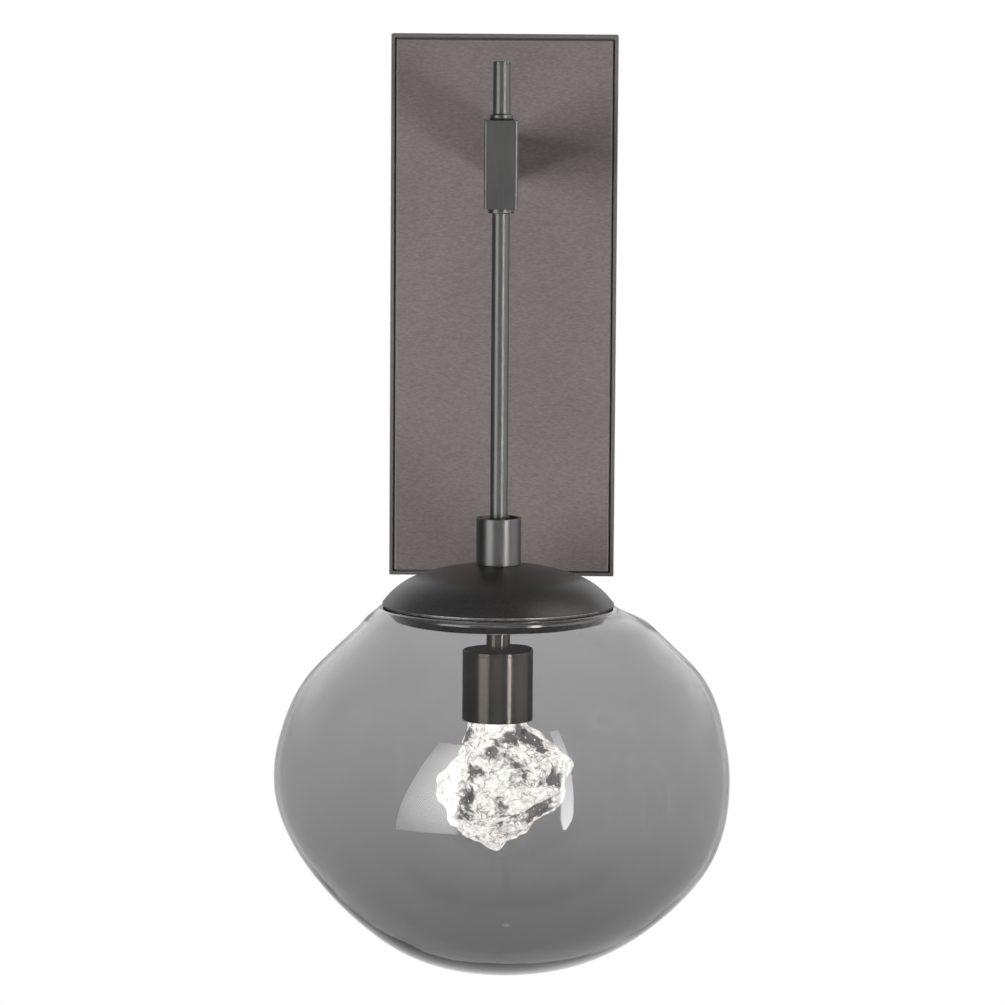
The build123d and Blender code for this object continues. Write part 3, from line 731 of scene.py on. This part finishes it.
class SCONCE_OT_wall_hardware(Operator):
    """Nuts, washer and pipe behind the plate, and the strap that holds the plate to the wall"""

    bl_idname = "sconce.wall_hardware"
    bl_label = "Wall hardware"

    def execute(self, context):
        low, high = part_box("face_nuts")
        across = high.z - low.z
        nut = hex_nut(low.y, high.y, across, bore=2 * MM)
        nuts = pair(nut, high.x - across / sqrt(3), (low.z + high.z) / 2)
        add_piece("face_nuts", nuts, "zinc", "bracket", "zinc")
        low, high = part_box("arm_nipple")
        radius, z = (high.x - low.x) / 2, (low.z + high.z) / 2
        pitch = context.scene.sconce_sizes.thread_pitch
        pipe = threaded(low.y, high.y, radius, WIRE_BORE, pitch, depth=0.5 * MM)
        add_piece("arm_nipple", [lying(pipe, 0, z)], "zinc", "bracket", "zinc")
        low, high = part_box("arm_washer")
        disc = turned(tube(low.y, high.y, (high.x - low.x) / 2, radius, 0.25 * MM), 96)
        add_piece("arm_washer", [lying(disc, 0, z)], "zinc", "bracket", "zinc")
        low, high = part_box("arm_locknut")
        nut = hex_nut(low.y, high.y, high.z - low.z, radius)
        add_piece("arm_locknut", [lying(nut, 0, z)], "zinc", "bracket", "zinc")
        dress("zinc", "mounting_strap", "rod_set_screw", "collar_grub_screw", "tray_side_screws")
        dress("earth", "ground_screw")
        return {"FINISHED"}


class SCONCE_OT_arm(Operator):
    """Flat arm, the block on its end and the bush under the block"""

    bl_idname = "sconce.arm"
    bl_label = "Arm and block"

    def execute(self, context):
        sizes = context.scene.sconce_sizes
        low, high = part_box("arm_bar")
        block_low, block_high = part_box("clamp_block")
        path = rectangle(high.x - low.x, high.z - low.z, corner=0.5 * MM, ease=0.25 * MM)
        middle, front = high.x, block_high.y
        ends = eased([(middle, front), (0, front), (0, high.y), (middle, high.y)], [0, 0.3, 0.3, 0], MM)
        bar = facing(path, ends, (low.z + high.z) / 2)
        add_piece("arm_bar", [bar], "gunmetal", "bracket", "gunmetal", capped=True)
        width, bottom, top = block_high.x - block_low.x, block_low.z, block_high.z
        path = rectangle(width, block_high.y - block_low.y, sizes.block_chamfer, ease=0.5 * MM)
        middle = width / 2
        ends = eased([(middle, bottom), (0, bottom), (0, top), (middle, top)], [0, 1, 1, 0], sizes.edge)
        block = carried(path, ends) + (*AXIS, 0, 0)
        block = add_piece("clamp_block", [block], "gunmetal", "bracket", "gunmetal", capped=True)
        drill(block, screw_hole("rod_set_screw", block_high.y + 2 * MM, clearance=0.05 * MM, count=48))
        radius, low, high = span("rod_bush")
        rod, sleeve = span("rod_tube")[0], 6 * MM
        collar = eased([(rod, low), (radius, low), (radius, bottom), (sleeve, bottom), (sleeve, high),
                        (rod, high)], [0.2, 0.5, 0.2, 0, 0.2, 0.2], MM)
        add_piece("rod_bush", [turned(collar)], "turned", "bracket", "gunmetal")
        return {"FINISHED"}


# Rod, coupling and cap


class SCONCE_OT_rod(Operator):
    """Rod with its end plug, and the collar and washer that stop it on the block"""

    bl_idname = "sconce.rod"
    bl_label = "Rod and collar"

    def execute(self, context):
        rod, low, high = span("rod_tube")
        pipe = turned(tube(low, high, rod, WIRE_BORE, 0.12 * MM), 96)
        add_piece("rod_tube", [pipe], "gunmetal", "hanger", "gunmetal")
        radius, low, top = span("rod_end_plug")
        plug = eased([(0, top), (radius, top), (radius, high), (WIRE_BORE, high), (WIRE_BORE, low), (0, low)],
                     [0, 0.5, 0.12, 0, 0.2, 0], MM)
        add_piece("rod_end_plug", [turned(plug, 96)], "turned", "hanger", "gunmetal")
        radius, low, high = span("stop_collar")
        cut = 0.5 * MM
        ring = eased([(rod, low), (radius, low), (radius, high - cut), (radius - cut, high), (rod, high)],
                     [0, 0.25, 0.15, 0.15, 0.1], MM)
        collar = add_piece("stop_collar", [turned(ring)], "turned", "hanger", "gunmetal")
        back = AXIS[1] + radius + 2 * MM
        drill(collar, screw_hole("collar_grub_screw", back, clearance=0.02 * MM, count=32))
        radius, low, high = span("collar_washer")
        washer = turned(tube(low, high, radius, rod, 0.2 * MM))
        add_piece("collar_washer", [washer], "nylon", "hanger", "black_nylon")
        return {"FINISHED"}


class SCONCE_OT_coupling(Operator):
    """Turned coupling between the rod and the cap, with a thin rim round its recessed top"""

    bl_idname = "sconce.coupling"
    bl_label = "Coupling"

    def execute(self, context):
        radius, low, high = span("coupling")
        rod, rim, floor, grip = span("rod_tube")[0], radius - 1.4 * MM, high - 1.5 * MM, low + 11 * MM
        body = eased([(PIPE, low), (radius, low), (radius, high), (rim, high), (rim, floor), (rod, floor),
                      (rod, grip), (PIPE, grip)], [0, 0.45, 0.4, 0.4, 0.4, 0.2, 0, 0], MM)
        add_piece("coupling", [turned(body)], "turned", "hanger", "gunmetal")
        dress("zinc", "fixture_nipple", "cap_spacer")
        return {"FINISHED"}


class SCONCE_OT_dome_cap(Operator):
    """Spun dome cap: a flat crown, a tighter knuckle and a short upright rim"""

    bl_idname = "sconce.dome_cap"
    bl_label = "Dome cap"

    def execute(self, context):
        """The section is a crown arc and a knuckle arc that meet in one slope, outside and inside, with a
        rounded upright rim between them."""
        sizes = context.scene.sconce_sizes
        radius, rim, top = span("dome_cap")
        seat, wall = span("coupling")[0] + 0.5 * MM, sizes.cap_wall
        crown, crown_slope, rim_slope = sizes.crown_radius, sizes.crown_angle, sizes.rim_angle
        crown_z = top - sqrt(crown**2 - seat**2)
        knuckle = (radius - crown * sin(crown_slope)) / (sin(rim_slope) - sin(crown_slope))
        centre = ((crown - knuckle) * sin(crown_slope), crown_z + (crown - knuckle) * cos(crown_slope))
        crown_end, rim_end = 90 - degrees(crown_slope), 90 - degrees(rim_slope)
        seat_angle = degrees(atan2(top - crown_z, seat))
        land = rim + sizes.cap_land
        inner_rim = centre[0] + sqrt((knuckle - wall) ** 2 - (rim - centre[1]) ** 2)
        inner_end = degrees(atan2(rim - centre[1], inner_rim - centre[0]))
        inner_top = top - wall - crown_z
        inner_angle = degrees(atan2(inner_top, sqrt((crown - wall) ** 2 - inner_top**2)))
        edge = eased([(radius, land + MM), (radius, land), (radius, rim), (inner_rim, rim),
                      (inner_rim - MM, rim)], [0, 0.2, 0.35, 0.2, 0], MM)[5:20]
        profile = np.vstack([
            [(PIPE_HOLE, top, 0)],
            arc((0, crown_z), crown, seat_angle, crown_end, 26),
            arc(centre, knuckle, crown_end, rim_end, 40)[1:-1],
            edge,
            arc(centre, knuckle - wall, inner_end, crown_end, 30)[1:],
            arc((0, crown_z), crown - wall, crown_end, inner_angle, 20)[1:],
            [(PIPE_HOLE, top - wall, 0)],
        ])
        add_piece("dome_cap", [turned(profile, 224)], "cap", "hanger", "cap_metal")
        return {"FINISHED"}


# Glass


class SCONCE_OT_glass_fitter(Operator):
    """Pan that stands in the mouth of the glass, its split ring, the seal and the nut"""

    bl_idname = "sconce.glass_fitter"
    bl_label = "Glass fitter"

    def execute(self, context):
        """The pan's section runs down its outside, round the ring's groove, in by the taper and up inside.
        The ring is a wire carried round a circle with a gap at the back, whose ends are rounded."""
        radius, low, high = span("glass_fitter")
        ring_radius, ring_low, ring_high = span("retaining_ring")
        wire = (ring_high - ring_low) / 2
        centre, ring_z = ring_radius - wire, (ring_low + ring_high) / 2
        groove = wire + 0.05 * MM
        bite = degrees(np.arccos((radius - centre) / groove))
        wall, taper, bend, floor = 2.2 * MM, 2.7 * MM, ring_z - 2 * wire, high - 1.5 * MM
        foot, inner, inner_foot = radius - taper, radius - wall, radius - wall - taper
        nick, round_off, fillet = 0.1 * MM, 0.3 * MM, 0.6 * MM
        top = radius - 0.4 * MM, high - 0.4 * MM
        profile = np.vstack([
            [(PIPE_HOLE, high, 0), (top[0], high, 0), (radius - nick, high - nick, 1), (radius, top[1], 0)],
            arc((centre, ring_z), groove, bite, 360 - bite, 14),
            [(radius, bend, 0.6), (foot + nick, low + round_off, 0.5), (foot - round_off, low, 1)],
            [(inner_foot + round_off, low, 1), (inner_foot, low + round_off, 0.5), (inner, bend, 0)],
            [(inner, floor - fillet, 0), (inner - fillet, floor, 0), (PIPE_HOLE, floor, 0)],
        ])
        add_piece("glass_fitter", [turned(profile, 224)], "fitter", "hanger", "cap_metal", sharp=25)
        split = radians(14)
        turn = np.linspace(pi / 2 + split / 2, 5 * pi / 2 - split / 2, 241)[:, None]
        reach = np.minimum(turn - turn[0], turn[-1] - turn) * centre / wire
        size = wire * np.sqrt(np.clip(1 - (1 - np.minimum(reach, 1)) ** 2, 0, 1))
        round_wire = circle(20)
        ring = about_axis(centre + size * np.cos(round_wire), ring_z + size * np.sin(round_wire), turn)
        add_piece("retaining_ring", [ring], "zinc", "hanger", "zinc")
        radius, low, high = span("rim_gasket")
        seal = turned(tube(low, high, radius, radius - 2.6 * MM, 0.3 * MM), 192)
        add_piece("rim_gasket", [seal], "nylon", "hanger", "soft_seal")
        low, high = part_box("fitter_nut")
        add_piece("fitter_nut", [hex_nut(low.z, high.z, high.y - low.y, PIPE)], "zinc", "hanger", "zinc")
        return {"FINISHED"}


class SCONCE_OT_glass_globe(Operator):
    """Smoked glass globe, blown a little out of true"""

    bl_idname = "sconce.glass_globe"
    bl_label = "Glass globe"

    def execute(self, context):
        """The section is a bottom arc, a side arc and a straight shoulder to a rounded lip, inside and out.
        It is turned, filled out at the shoulder, dented by a flat at the lower left and by slow waves, and
        its middle is moved aside by smooth steps along the depth below the lip."""
        sizes = context.scene.sconce_sizes
        low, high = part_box("glass_globe")
        side, wall, rise = sizes.globe_side, sizes.glass_wall, 94.1 * MM
        reach, lip, foot = (high.y - low.y) / 2, high.z, low.z
        offset, waist = reach - side, lip - rise
        join = pi / 2 - 2 * atan((waist - foot - side) / offset)
        bottom, bottom_r = (0, waist + offset * tan(join)), side + offset / cos(join)
        across = sizes.glass_mouth - offset
        lean_in = atan2(rise, across) - np.arccos((side - wall) / hypot(across, rise))

        def curve(inset, count):
            """Bottom arc, side arc and shoulder end of one face of the glass."""
            base = arc(bottom, bottom_r - inset, -90, -degrees(join), count)
            flank = arc((offset, waist), side - inset, -degrees(join), degrees(lean_in), count)
            start = flank[-1]
            end = np.array([start[0] - (lip - start[1]) * tan(lean_in), lip, 0])
            shoulder = start + (end - start) * np.linspace(0, 1, 16)[1:, None]
            return np.vstack([base, flank[1:], shoulder])

        outer, inner = curve(0, 64), curve(wall, 64)
        gather, lip_ease, lip_zone = 66 * MM, 0.9 * MM, 1.4 * MM
        inner[:, 1] += sizes.glass_foot * np.exp(-((inner[:, 0] / gather) ** 2)) * (inner[:, 1] < waist)
        ends = [outer[-3, :2], outer[-1, :2], inner[-1, :2], inner[-3, :2]]
        corner = eased(ends, [0, 1, 1, 0], lip_ease, 6)[7:21] * (1, 1, 0)
        outer, inner = (face[face[:, 1] < lip - lip_zone] for face in (outer, inner))
        shell = turned(np.vstack([outer, corner, inner[::-1]]), 208)
        x, y, z = shell[..., 0] - AXIS[0], shell[..., 1] - AXIS[1], shell[..., 2]
        turn, depth, out = np.arctan2(y, x), (lip - z) / (lip - foot), np.hypot(x, y)
        flat_turn, flat_depth, flat_reach = radians(200), 0.74, 0.17
        flat = np.exp(-(((depth - flat_depth) / flat_reach) ** 2))
        flat = flat * np.clip(np.cos(turn - flat_turn), 0, 1) ** 3
        waves = (np.sin(2 * turn + 5 * depth) + 0.7 * np.sin(3 * turn - 8 * depth + 1)
                 + 0.4 * np.sin(5 * turn + 13 * depth))
        swell = (waves - 2.1) / 4.2 * np.sin(pi * np.clip(depth, 0, 1)) ** 0.8
        draw = 1 + (sizes.globe_flat * -flat + sizes.globe_ripple * swell) / reach
        below = (lip - z) / MM  # the steps start and run in millimetres below the lip
        full = step(below / 9) * (1 - step((below - 26) / 50)) * np.cos(turn) ** 2
        right = np.clip(np.cos(turn), 0, 1) ** 1.5
        draw = draw + full * (sizes.globe_shoulder + sizes.globe_bulge * right) / out.clip(20 * MM)
        sway = 2.6 * step((below - 95) / 55) - 0.8 * step((below - 40) / 50) - 1.6 * step((below - 170) / 30)
        sag = 1.5 * MM * np.exp(-(((out / MM - 54) / 26) ** 2)) * step((below - 150) / 30)
        shell[..., 0] = AXIS[0] + x * draw + sizes.globe_shift * step(below / 12) + MM * sway
        shell[..., 1] = AXIS[1] + y * draw
        middle = waist - 8 * MM
        drawn = np.where((depth > 0.02) & (z < waist), middle + (z - middle) * draw, z)
        shell[..., 2] = np.maximum(drawn - sag, foot)
        add_piece("glass_globe", [shell], "smoke", "globe", "smoke_glass", sharp=80)
        return {"FINISHED"}


# Lampholder and lamp


class SCONCE_OT_lampholder(Operator):
    """Stem, lid and cup of the lampholder, and the hardware inside"""

    bl_idname = "sconce.lampholder"
    bl_label = "Lampholder"

    def execute(self, context):
        radius, low, high = span("socket_stem")
        lid_radius, lid_low, lid_top = span("socket_lid")
        tenon = 4.6 * MM
        stem = eased([(WIRE_BORE, low), (tenon, low), (tenon, lid_top), (radius, lid_top), (radius, high),
                      (WIRE_BORE, high)], [0, 0.2, 0, 0.5, 0.5, 0.2], MM)
        add_piece("socket_stem", [turned(stem, 96)], "socket", "hanger", "gunmetal")
        cup_radius, cup_low, cup_high = span("socket_cup")
        spigot = cup_radius - 1.05 * MM
        inner = spigot - 4 * MM
        lid = eased([(tenon, lid_top), (lid_radius, lid_top), (lid_radius, cup_high), (spigot, cup_high),
                     (spigot, lid_low), (inner, lid_low), (inner, cup_high), (tenon, cup_high)],
                    [0.2, 1.3, 0.25, 0, 0.3, 0.3, 0, 0.2], MM)
        add_piece("socket_lid", [turned(lid)], "lid", "hanger", "socket_bronze")
        cup = tube(cup_low, cup_high, cup_radius, cup_radius - MM, 0.4 * MM)
        add_piece("socket_cup", [turned(cup)], "socket", "hanger", "socket_bronze")
        low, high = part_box("socket_nut")
        add_piece("socket_nut", [hex_nut(low.z, high.z, high.y - low.y, tenon)], "zinc", "hanger", "zinc")
        dress("phenolic", "lampholder_body")
        dress("zinc", "lampholder_screws")
        dress("brass", "screw_shell", "centre_contact")
        return {"FINISHED"}


class SCONCE_OT_crystal_lamp(Operator):
    """Cast crystal with its glow painted in its finish, the lit core inside, and the lamp's screw base"""

    bl_idname = "sconce.crystal_lamp"
    bl_label = "Crystal lamp"

    def execute(self, context):
        """The mean radius swells as a quarter sine to the belly and falls as a quarter cosine to the tip. The
        middle line swings aside, slow waves run round it, and rounded lumps and small chips stand out of it:
        each is a cap whose height falls with the square of the distance from its own seeded place."""
        sizes = context.scene.sconce_sizes
        low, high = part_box("crystal_bulb")
        mouth, tip, top = high.z - 6.2 * MM, low.z, high.z
        neck_r, belly_r, tip_r, belly = 16.2 * MM, 36 * MM, 1.6 * MM, 0.47
        rows, columns = 190, 260
        share, turn = np.linspace(0, 1, rows)[:, None], circle(columns)
        swell = neck_r + (belly_r - neck_r) * np.sin(pi / 2 * np.minimum(share / belly, 1))
        fall = tip_r + (belly_r - tip_r) * np.cos(pi / 2 * np.clip((share - belly) / (1 - belly), 0, 1))
        waves = (np.sin(3 * turn + 11 * share) + 0.8 * np.sin(5 * turn - 17 * share)
                 + 0.6 * np.sin(7 * turn + 29 * share))
        radius = np.where(share < belly, swell, fall) * (1 + 0.055 * np.sin(pi * share) * waves)
        aside = (4.5 * np.sin(2 * pi * share) + 3 * np.sin(pi * share)) * MM
        height = mouth + (tip - mouth) * share
        x, y = radius * np.cos(turn), radius * np.sin(turn)
        place = np.stack(np.broadcast_arrays(x, y, height), axis=2)
        seeds = np.random.default_rng(7)
        relief = np.zeros(radius.shape)
        for count, size, stand in ((46, 8.5 * MM, sizes.crystal_lump), (150, 4.2 * MM, sizes.crystal_chip)):
            down, round_about = seeds.uniform(0.06, 0.97, count), seeds.uniform(0, 2 * pi, count)
            reach = seeds.uniform(0.7, 1.3, count) * size
            row, column = (down * (rows - 1)).astype(int), (round_about / (2 * pi) * columns).astype(int)
            away = np.linalg.norm(place[:, :, None] - place[row, column][None, None], axis=3) / reach
            relief += stand * np.clip(1 - away**2, 0, 1).max(axis=2) - stand * 0.55
        relief *= np.clip(share / 0.06, 0, 1) * np.clip((1 - share) / 0.03, 0.25, 1)
        drop = relief * np.clip((share - 0.6) / 0.4, 0, 1) * 0.5
        skin = about_axis(np.maximum(radius + relief, tip_r * 0.6), np.maximum(height - drop, tip), turn)
        skin[..., 0] += aside
        cavity_end, cavity_r, top_r = top - 49 * MM, 9 * MM, 14.5 * MM
        cavity = [(0, cavity_end, 0), (0.7 * cavity_r, cavity_end, 0), (cavity_r, cavity_end + 3 * MM, 0),
                  (cavity_r, top, 0), (top_r, top, 0)]
        end = np.broadcast_to([*AXIS, tip, 0], (1, columns, 4))
        shell = np.concatenate([turned(np.array(cavity), columns), skin, end])
        add_piece("crystal_bulb", [shell], "crystal", "lamp", "crystal", sharp=60)
        dress("core", "led_core")
        dress("phenolic", "lamp_insulator")
        dress("brass", "lamp_contact", "lamp_shell")
        return {"FINISHED"}


# Stage


def towards(azimuth, elevation):
    """Unit vectors out from the sconce, by degrees to the right of straight ahead and degrees up."""
    a, e = np.broadcast_arrays(np.radians(azimuth), np.radians(elevation))
    return np.stack([np.sin(a) * np.cos(e), -np.cos(a) * np.cos(e), np.sin(e)], axis=-1)


def softbox(name, azimuth, elevation, width, height, brightness):
    """An area light aimed at the globe from a direction, which nothing shows."""
    distance, aim = 2.2, Vector((*AXIS, -0.15))
    lamp = bpy.data.lights.new(name, "AREA")
    lamp.shape, lamp.size, lamp.size_y = "RECTANGLE", width, height
    lamp.energy = brightness * pi * width * height
    light = bpy.data.objects.new(name, lamp)
    out = Vector(towards(azimuth, elevation))
    light.location = aim + out * distance
    light.rotation_euler = out.to_track_quat("Z", "Y").to_euler()
    light.visible_camera = light.visible_glossy = light.visible_transmission = False
    bpy.context.scene.collection.objects.link(light)


def stage_object(name, points, finish, wrap):
    """A stage surface from a grid that may close round one way."""
    rows, columns = points.shape[:2]
    quads = grid_faces(rows, columns, 0).reshape(rows, columns, 4)[:-1]
    quads = quads if wrap else quads[:, :-1]
    mesh = bpy.data.meshes.new(name)
    mesh.from_pydata(points.reshape(-1, 3).tolist(), [], quads.reshape(-1, 4).tolist())
    mesh.materials.append(finish)
    mesh.shade_smooth()
    thing = bpy.data.objects.new(name, mesh)
    bpy.context.scene.collection.objects.link(thing)
    return thing


def reflections_only(thing):
    """Hides a stage object from every ray but reflected ones."""
    for ray in ("camera", "diffuse", "transmission", "volume_scatter", "shadow"):
        setattr(thing, "visible_" + ray, False)


def looked_at(tree):
    """1 for the rays that a camera, metal or glass sends out, and 0 for those of matt surfaces."""
    path = add_node(tree, "LightPath").outputs
    shine = maths(tree, "MAXIMUM", path["Is Glossy Ray"], path["Is Transmission Ray"])
    return maths(tree, "MAXIMUM", path["Is Camera Ray"], shine)


class SCONCE_OT_stage(Operator):
    """Pale floor, studio light, white surroundings and the camera"""

    bl_idname = "sconce.stage"
    bl_label = "Stage"

    def execute(self, context):
        stage = context.scene.sconce_stage
        self.surroundings(context, stage.ambient)
        self.floor(stage)
        self.screen()
        self.cards(stage)
        softbox("left light", -46, 0, 0.3, 1.2, stage.near)
        softbox("low light", 60, -27, 0.3, 0.6, stage.fill)
        softbox("top light", 180, 62, 1.2, 1.2, stage.top)
        self.camera(context)
        context.scene.view_settings.view_transform = "Standard"
        return {"FINISHED"}

    def surroundings(self, context, ambient):
        """White for what the camera, metal and glass see, and a lower light on matt surfaces."""
        world = bpy.data.worlds.new("surroundings")
        context.scene.world = world
        world.use_nodes = True
        world.cycles.sampling_method = "NONE"
        tree = world.node_tree
        tree.nodes.clear()
        soft, white = (add_node(tree, "Background", {"Color": WHITE, "Strength": value}).outputs[0]
                       for value in (ambient, 1.0))
        add_node(tree, "OutputWorld", {"Surface": either(tree, looked_at(tree), soft, white)})

    def floor(self, stage):
        """A round pale floor that keeps the shadow and fades to white at its rim."""
        finish, tree, shader = new_finish("pale floor")
        feed(tree, shader, {"Base Color": (0.86, 0.86, 0.85, 1), "Roughness": 0.9})
        away, edge = upright_radius(tree, separated(tree, object_place(tree))), stage.floor_radius
        start, end, least = 0.45 * edge, 0.97 * edge, 0.55
        fade = remap(tree, away, start, end, least, 1.0, interpolation_type="SMOOTHSTEP")
        share = maths(tree, "MULTIPLY", fade, looked_at(tree))
        show(tree, either(tree, share, shader.outputs[0], emission(tree, WHITE, 1.0)))
        turn, radius = circle(96), edge * np.linspace(0.001, 1, 12)[:, None]
        points = np.broadcast_arrays(radius * np.cos(turn), radius * np.sin(turn), -stage.floor_drop)
        floor = stage_object("floor", np.stack(points, axis=2), finish, True)
        floor.visible_glossy = floor.visible_transmission = False

    def screen(self):
        """A dark screen round the sconce that only reflections see: darker to the left, above and below, with
        a pale wall behind that narrows downwards."""
        radius = 3.4
        finish, tree, _ = new_finish("dark screen")
        parts = separated(tree, object_place(tree))
        aside, along = (remap(tree, parts[axis], -radius, radius) for axis in "XZ")
        dim = ramp(tree, aside, {0.0: 0.06, 0.25: 0.12, 0.5: 0.42, 0.7: 0.2, 1.0: 0.15})
        dark = ramp(tree, along, {0.0: 0.3, 0.3: 0.8, 0.5: 1.0, 0.72: 0.5, 0.9: 0.14})
        behind = remap(tree, parts["Y"], 1.0, 2.6)
        above = ramp(tree, along, {0.0: 1.0, 0.3: 1.0, 0.38: 0.9, 0.47: 0.4, 0.62: 0.95, 0.8: 0.4})
        narrow = ramp(tree, aside, {0.2: 0.15, 0.34: 0.25, 0.45: 1.0, 0.55: 1.0, 0.66: 0.2, 0.8: 0.1})
        under = ramp(tree, along, {0.46: 1.0, 0.56: 0.0})
        pale = product(tree, behind, blend(tree, "MULTIPLY", under, above, narrow))
        shade = blend(tree, "SCREEN", 1.0, product(tree, dim, dark), pale)
        show(tree, emission(tree, shade, 1.0))
        azimuth = np.linspace(-180, 180, 72, endpoint=False)[None, :]
        points = radius * towards(azimuth, np.linspace(-89, 89, 37)[:, None])
        reflections_only(stage_object("dark screen", points, finish, True))

    def cards(self, stage):
        """Bright cards that only reflections see, each a grid of turn and height on a sphere with a glow at
        each point. The glass shows a window on the left whose left side leans and fades, and a narrow strip
        on the right that fades upwards. Rougher metal shows a plain card on the left, one in front, a wider
        strip on the right and a high card at the far right."""
        across, up = np.linspace(0, 1, 25)[None, :], np.linspace(0, 1, 61)[:, None]
        about, even, soft = 2 * across - 1, np.ones_like(across * up), np.sin(pi * across) ** 0.6
        left = -53.6 + 17 * up
        glow = (0.3 + 0.7 * across) * (0.4 + 0.6 * np.sin(pi * up)) * step((1 - across) / 0.12)
        self.card("window card", left + (-19 - left) * across, -21 + 60 * up, glow, stage.window, WHITE, 1, 0)
        self.card("left card", -46 + 17 * about, -34 + 58 * up, even, stage.left, WHITE, 0, 1)
        self.card("front card", 26 * about, -40 + 44 * up, soft * even, stage.front, WHITE, 0, 1)
        middle, half, height = 31 + 2 * up, 3.4 * np.sqrt(np.clip(up / 0.12, 0.02, 1)), -16 + 64 * up
        glow = (1 - 0.8 * up) * step(across / 0.25)
        self.card("strip card", middle + half * about, height, glow, stage.strip, WHITE, 1, 0)
        warm, rosy = (1, 1, 0.95, 1), (1, 0.97, 0.95, 1)
        self.card("right card", middle + 8 + 1.6 * half * about, height, glow, stage.strip, warm, 0, 0.9)
        glow = soft * np.sin(pi * up) ** 0.5
        self.card("high card", 86 + 36 * about, -24 + 98 * up, glow, stage.high, rosy, 0, 1)

    def card(self, name, azimuth, elevation, glow, brightness, shade, mirrors, metals):
        """One card on a sphere about the globe, with the shares of it that mirrors such as the glass and that
        rougher metal see."""
        finish, tree, _ = new_finish(name)
        share = add_node(tree, "Attribute", attribute_name="glow").outputs["Fac"]
        mirror = add_node(tree, "LightPath").outputs["Is Singular Ray"]
        strength = maths(tree, "MULTIPLY", share, brightness)
        strength = maths(tree, "MULTIPLY", strength, remap(tree, mirror, 0.0, 1.0, metals, mirrors))
        through = add_node(tree, "BsdfTransparent").outputs[0]
        lit = {0: emission(tree, shade, strength), 1: through}
        show(tree, add_node(tree, "AddShader", lit).outputs[0])
        centre, distance = np.array([*AXIS, -0.25]), 2.2 if mirrors else 2.4
        even = np.ones_like(glow)
        points = centre + distance * towards(azimuth * even, elevation * even)
        card = stage_object(name, points, finish, False)
        value = card.data.attributes.new("glow", "FLOAT", "POINT")
        value.data.foreach_set("value", glow.ravel().astype(np.float32))
        reflections_only(card)

    def camera(self, context):
        """The photograph's place and direction: a long lens above the block that looks a little down."""
        yaw, pitch, roll = radians(0.79), radians(6.50), radians(0.40)
        ahead = Vector((-sin(yaw) * cos(pitch), cos(yaw) * cos(pitch), -sin(pitch)))
        right = Vector((cos(yaw), sin(yaw), 0))
        up = right.cross(ahead)
        right, up = cos(roll) * right + sin(roll) * up, cos(roll) * up - sin(roll) * right
        view = Matrix((right, up, -ahead)).transposed().to_4x4()
        view.translation = Vector((34.65, -2509.69, 172.31)) * MM
        camera = bpy.data.objects.new("camera", bpy.data.cameras.new("camera"))
        camera.data.sensor_width, camera.data.lens = 36.0, 158.55
        camera.data.clip_end = 50
        camera.matrix_world = view
        context.scene.collection.objects.link(camera)
        context.scene.camera = camera


STEPS = (
    SCONCE_OT_wall_plate,
    SCONCE_OT_wall_hardware,
    SCONCE_OT_arm,
    SCONCE_OT_rod,
    SCONCE_OT_coupling,
    SCONCE_OT_dome_cap,
    SCONCE_OT_glass_fitter,
    SCONCE_OT_glass_globe,
    SCONCE_OT_lampholder,
    SCONCE_OT_crystal_lamp,
    SCONCE_OT_stage,
)


class SCONCE_PT_panel(Panel):
    """The sconce's pieces, sizes and finishes"""

    bl_label = "Wall sconce"
    bl_idname = "SCONCE_PT_panel"
    bl_space_type = "VIEW_3D"
    bl_region_type = "UI"
    bl_category = "Sconce"

    def draw(self, context):
        layout = self.layout
        for operator in STEPS:
            layout.operator(operator.bl_idname)
        for name in GROUPS:
            group, column = getattr(context.scene, name), layout.box().column()
            for value in group.__annotations__:
                column.prop(group, value)


GROUPS = {"sconce_sizes": SconceSizes, "sconce_finishes": SconceFinishes, "sconce_stage": SconceStage}
CLASSES = (*GROUPS.values(), *STEPS, SCONCE_PT_panel)


def register():
    for item in CLASSES:
        bpy.utils.register_class(item)
    for name, group in GROUPS.items():
        setattr(bpy.types.Scene, name, PointerProperty(type=group))


def unregister():
    for name in GROUPS:
        delattr(bpy.types.Scene, name)
    for item in reversed(CLASSES):
        bpy.utils.unregister_class(item)


def main():
    """Builds every piece in order."""
    register()
    for operator in STEPS:
        family, name = operator.bl_idname.split(".")
        getattr(getattr(bpy.ops, family), name)()


if __name__ == "__main__":
    main()
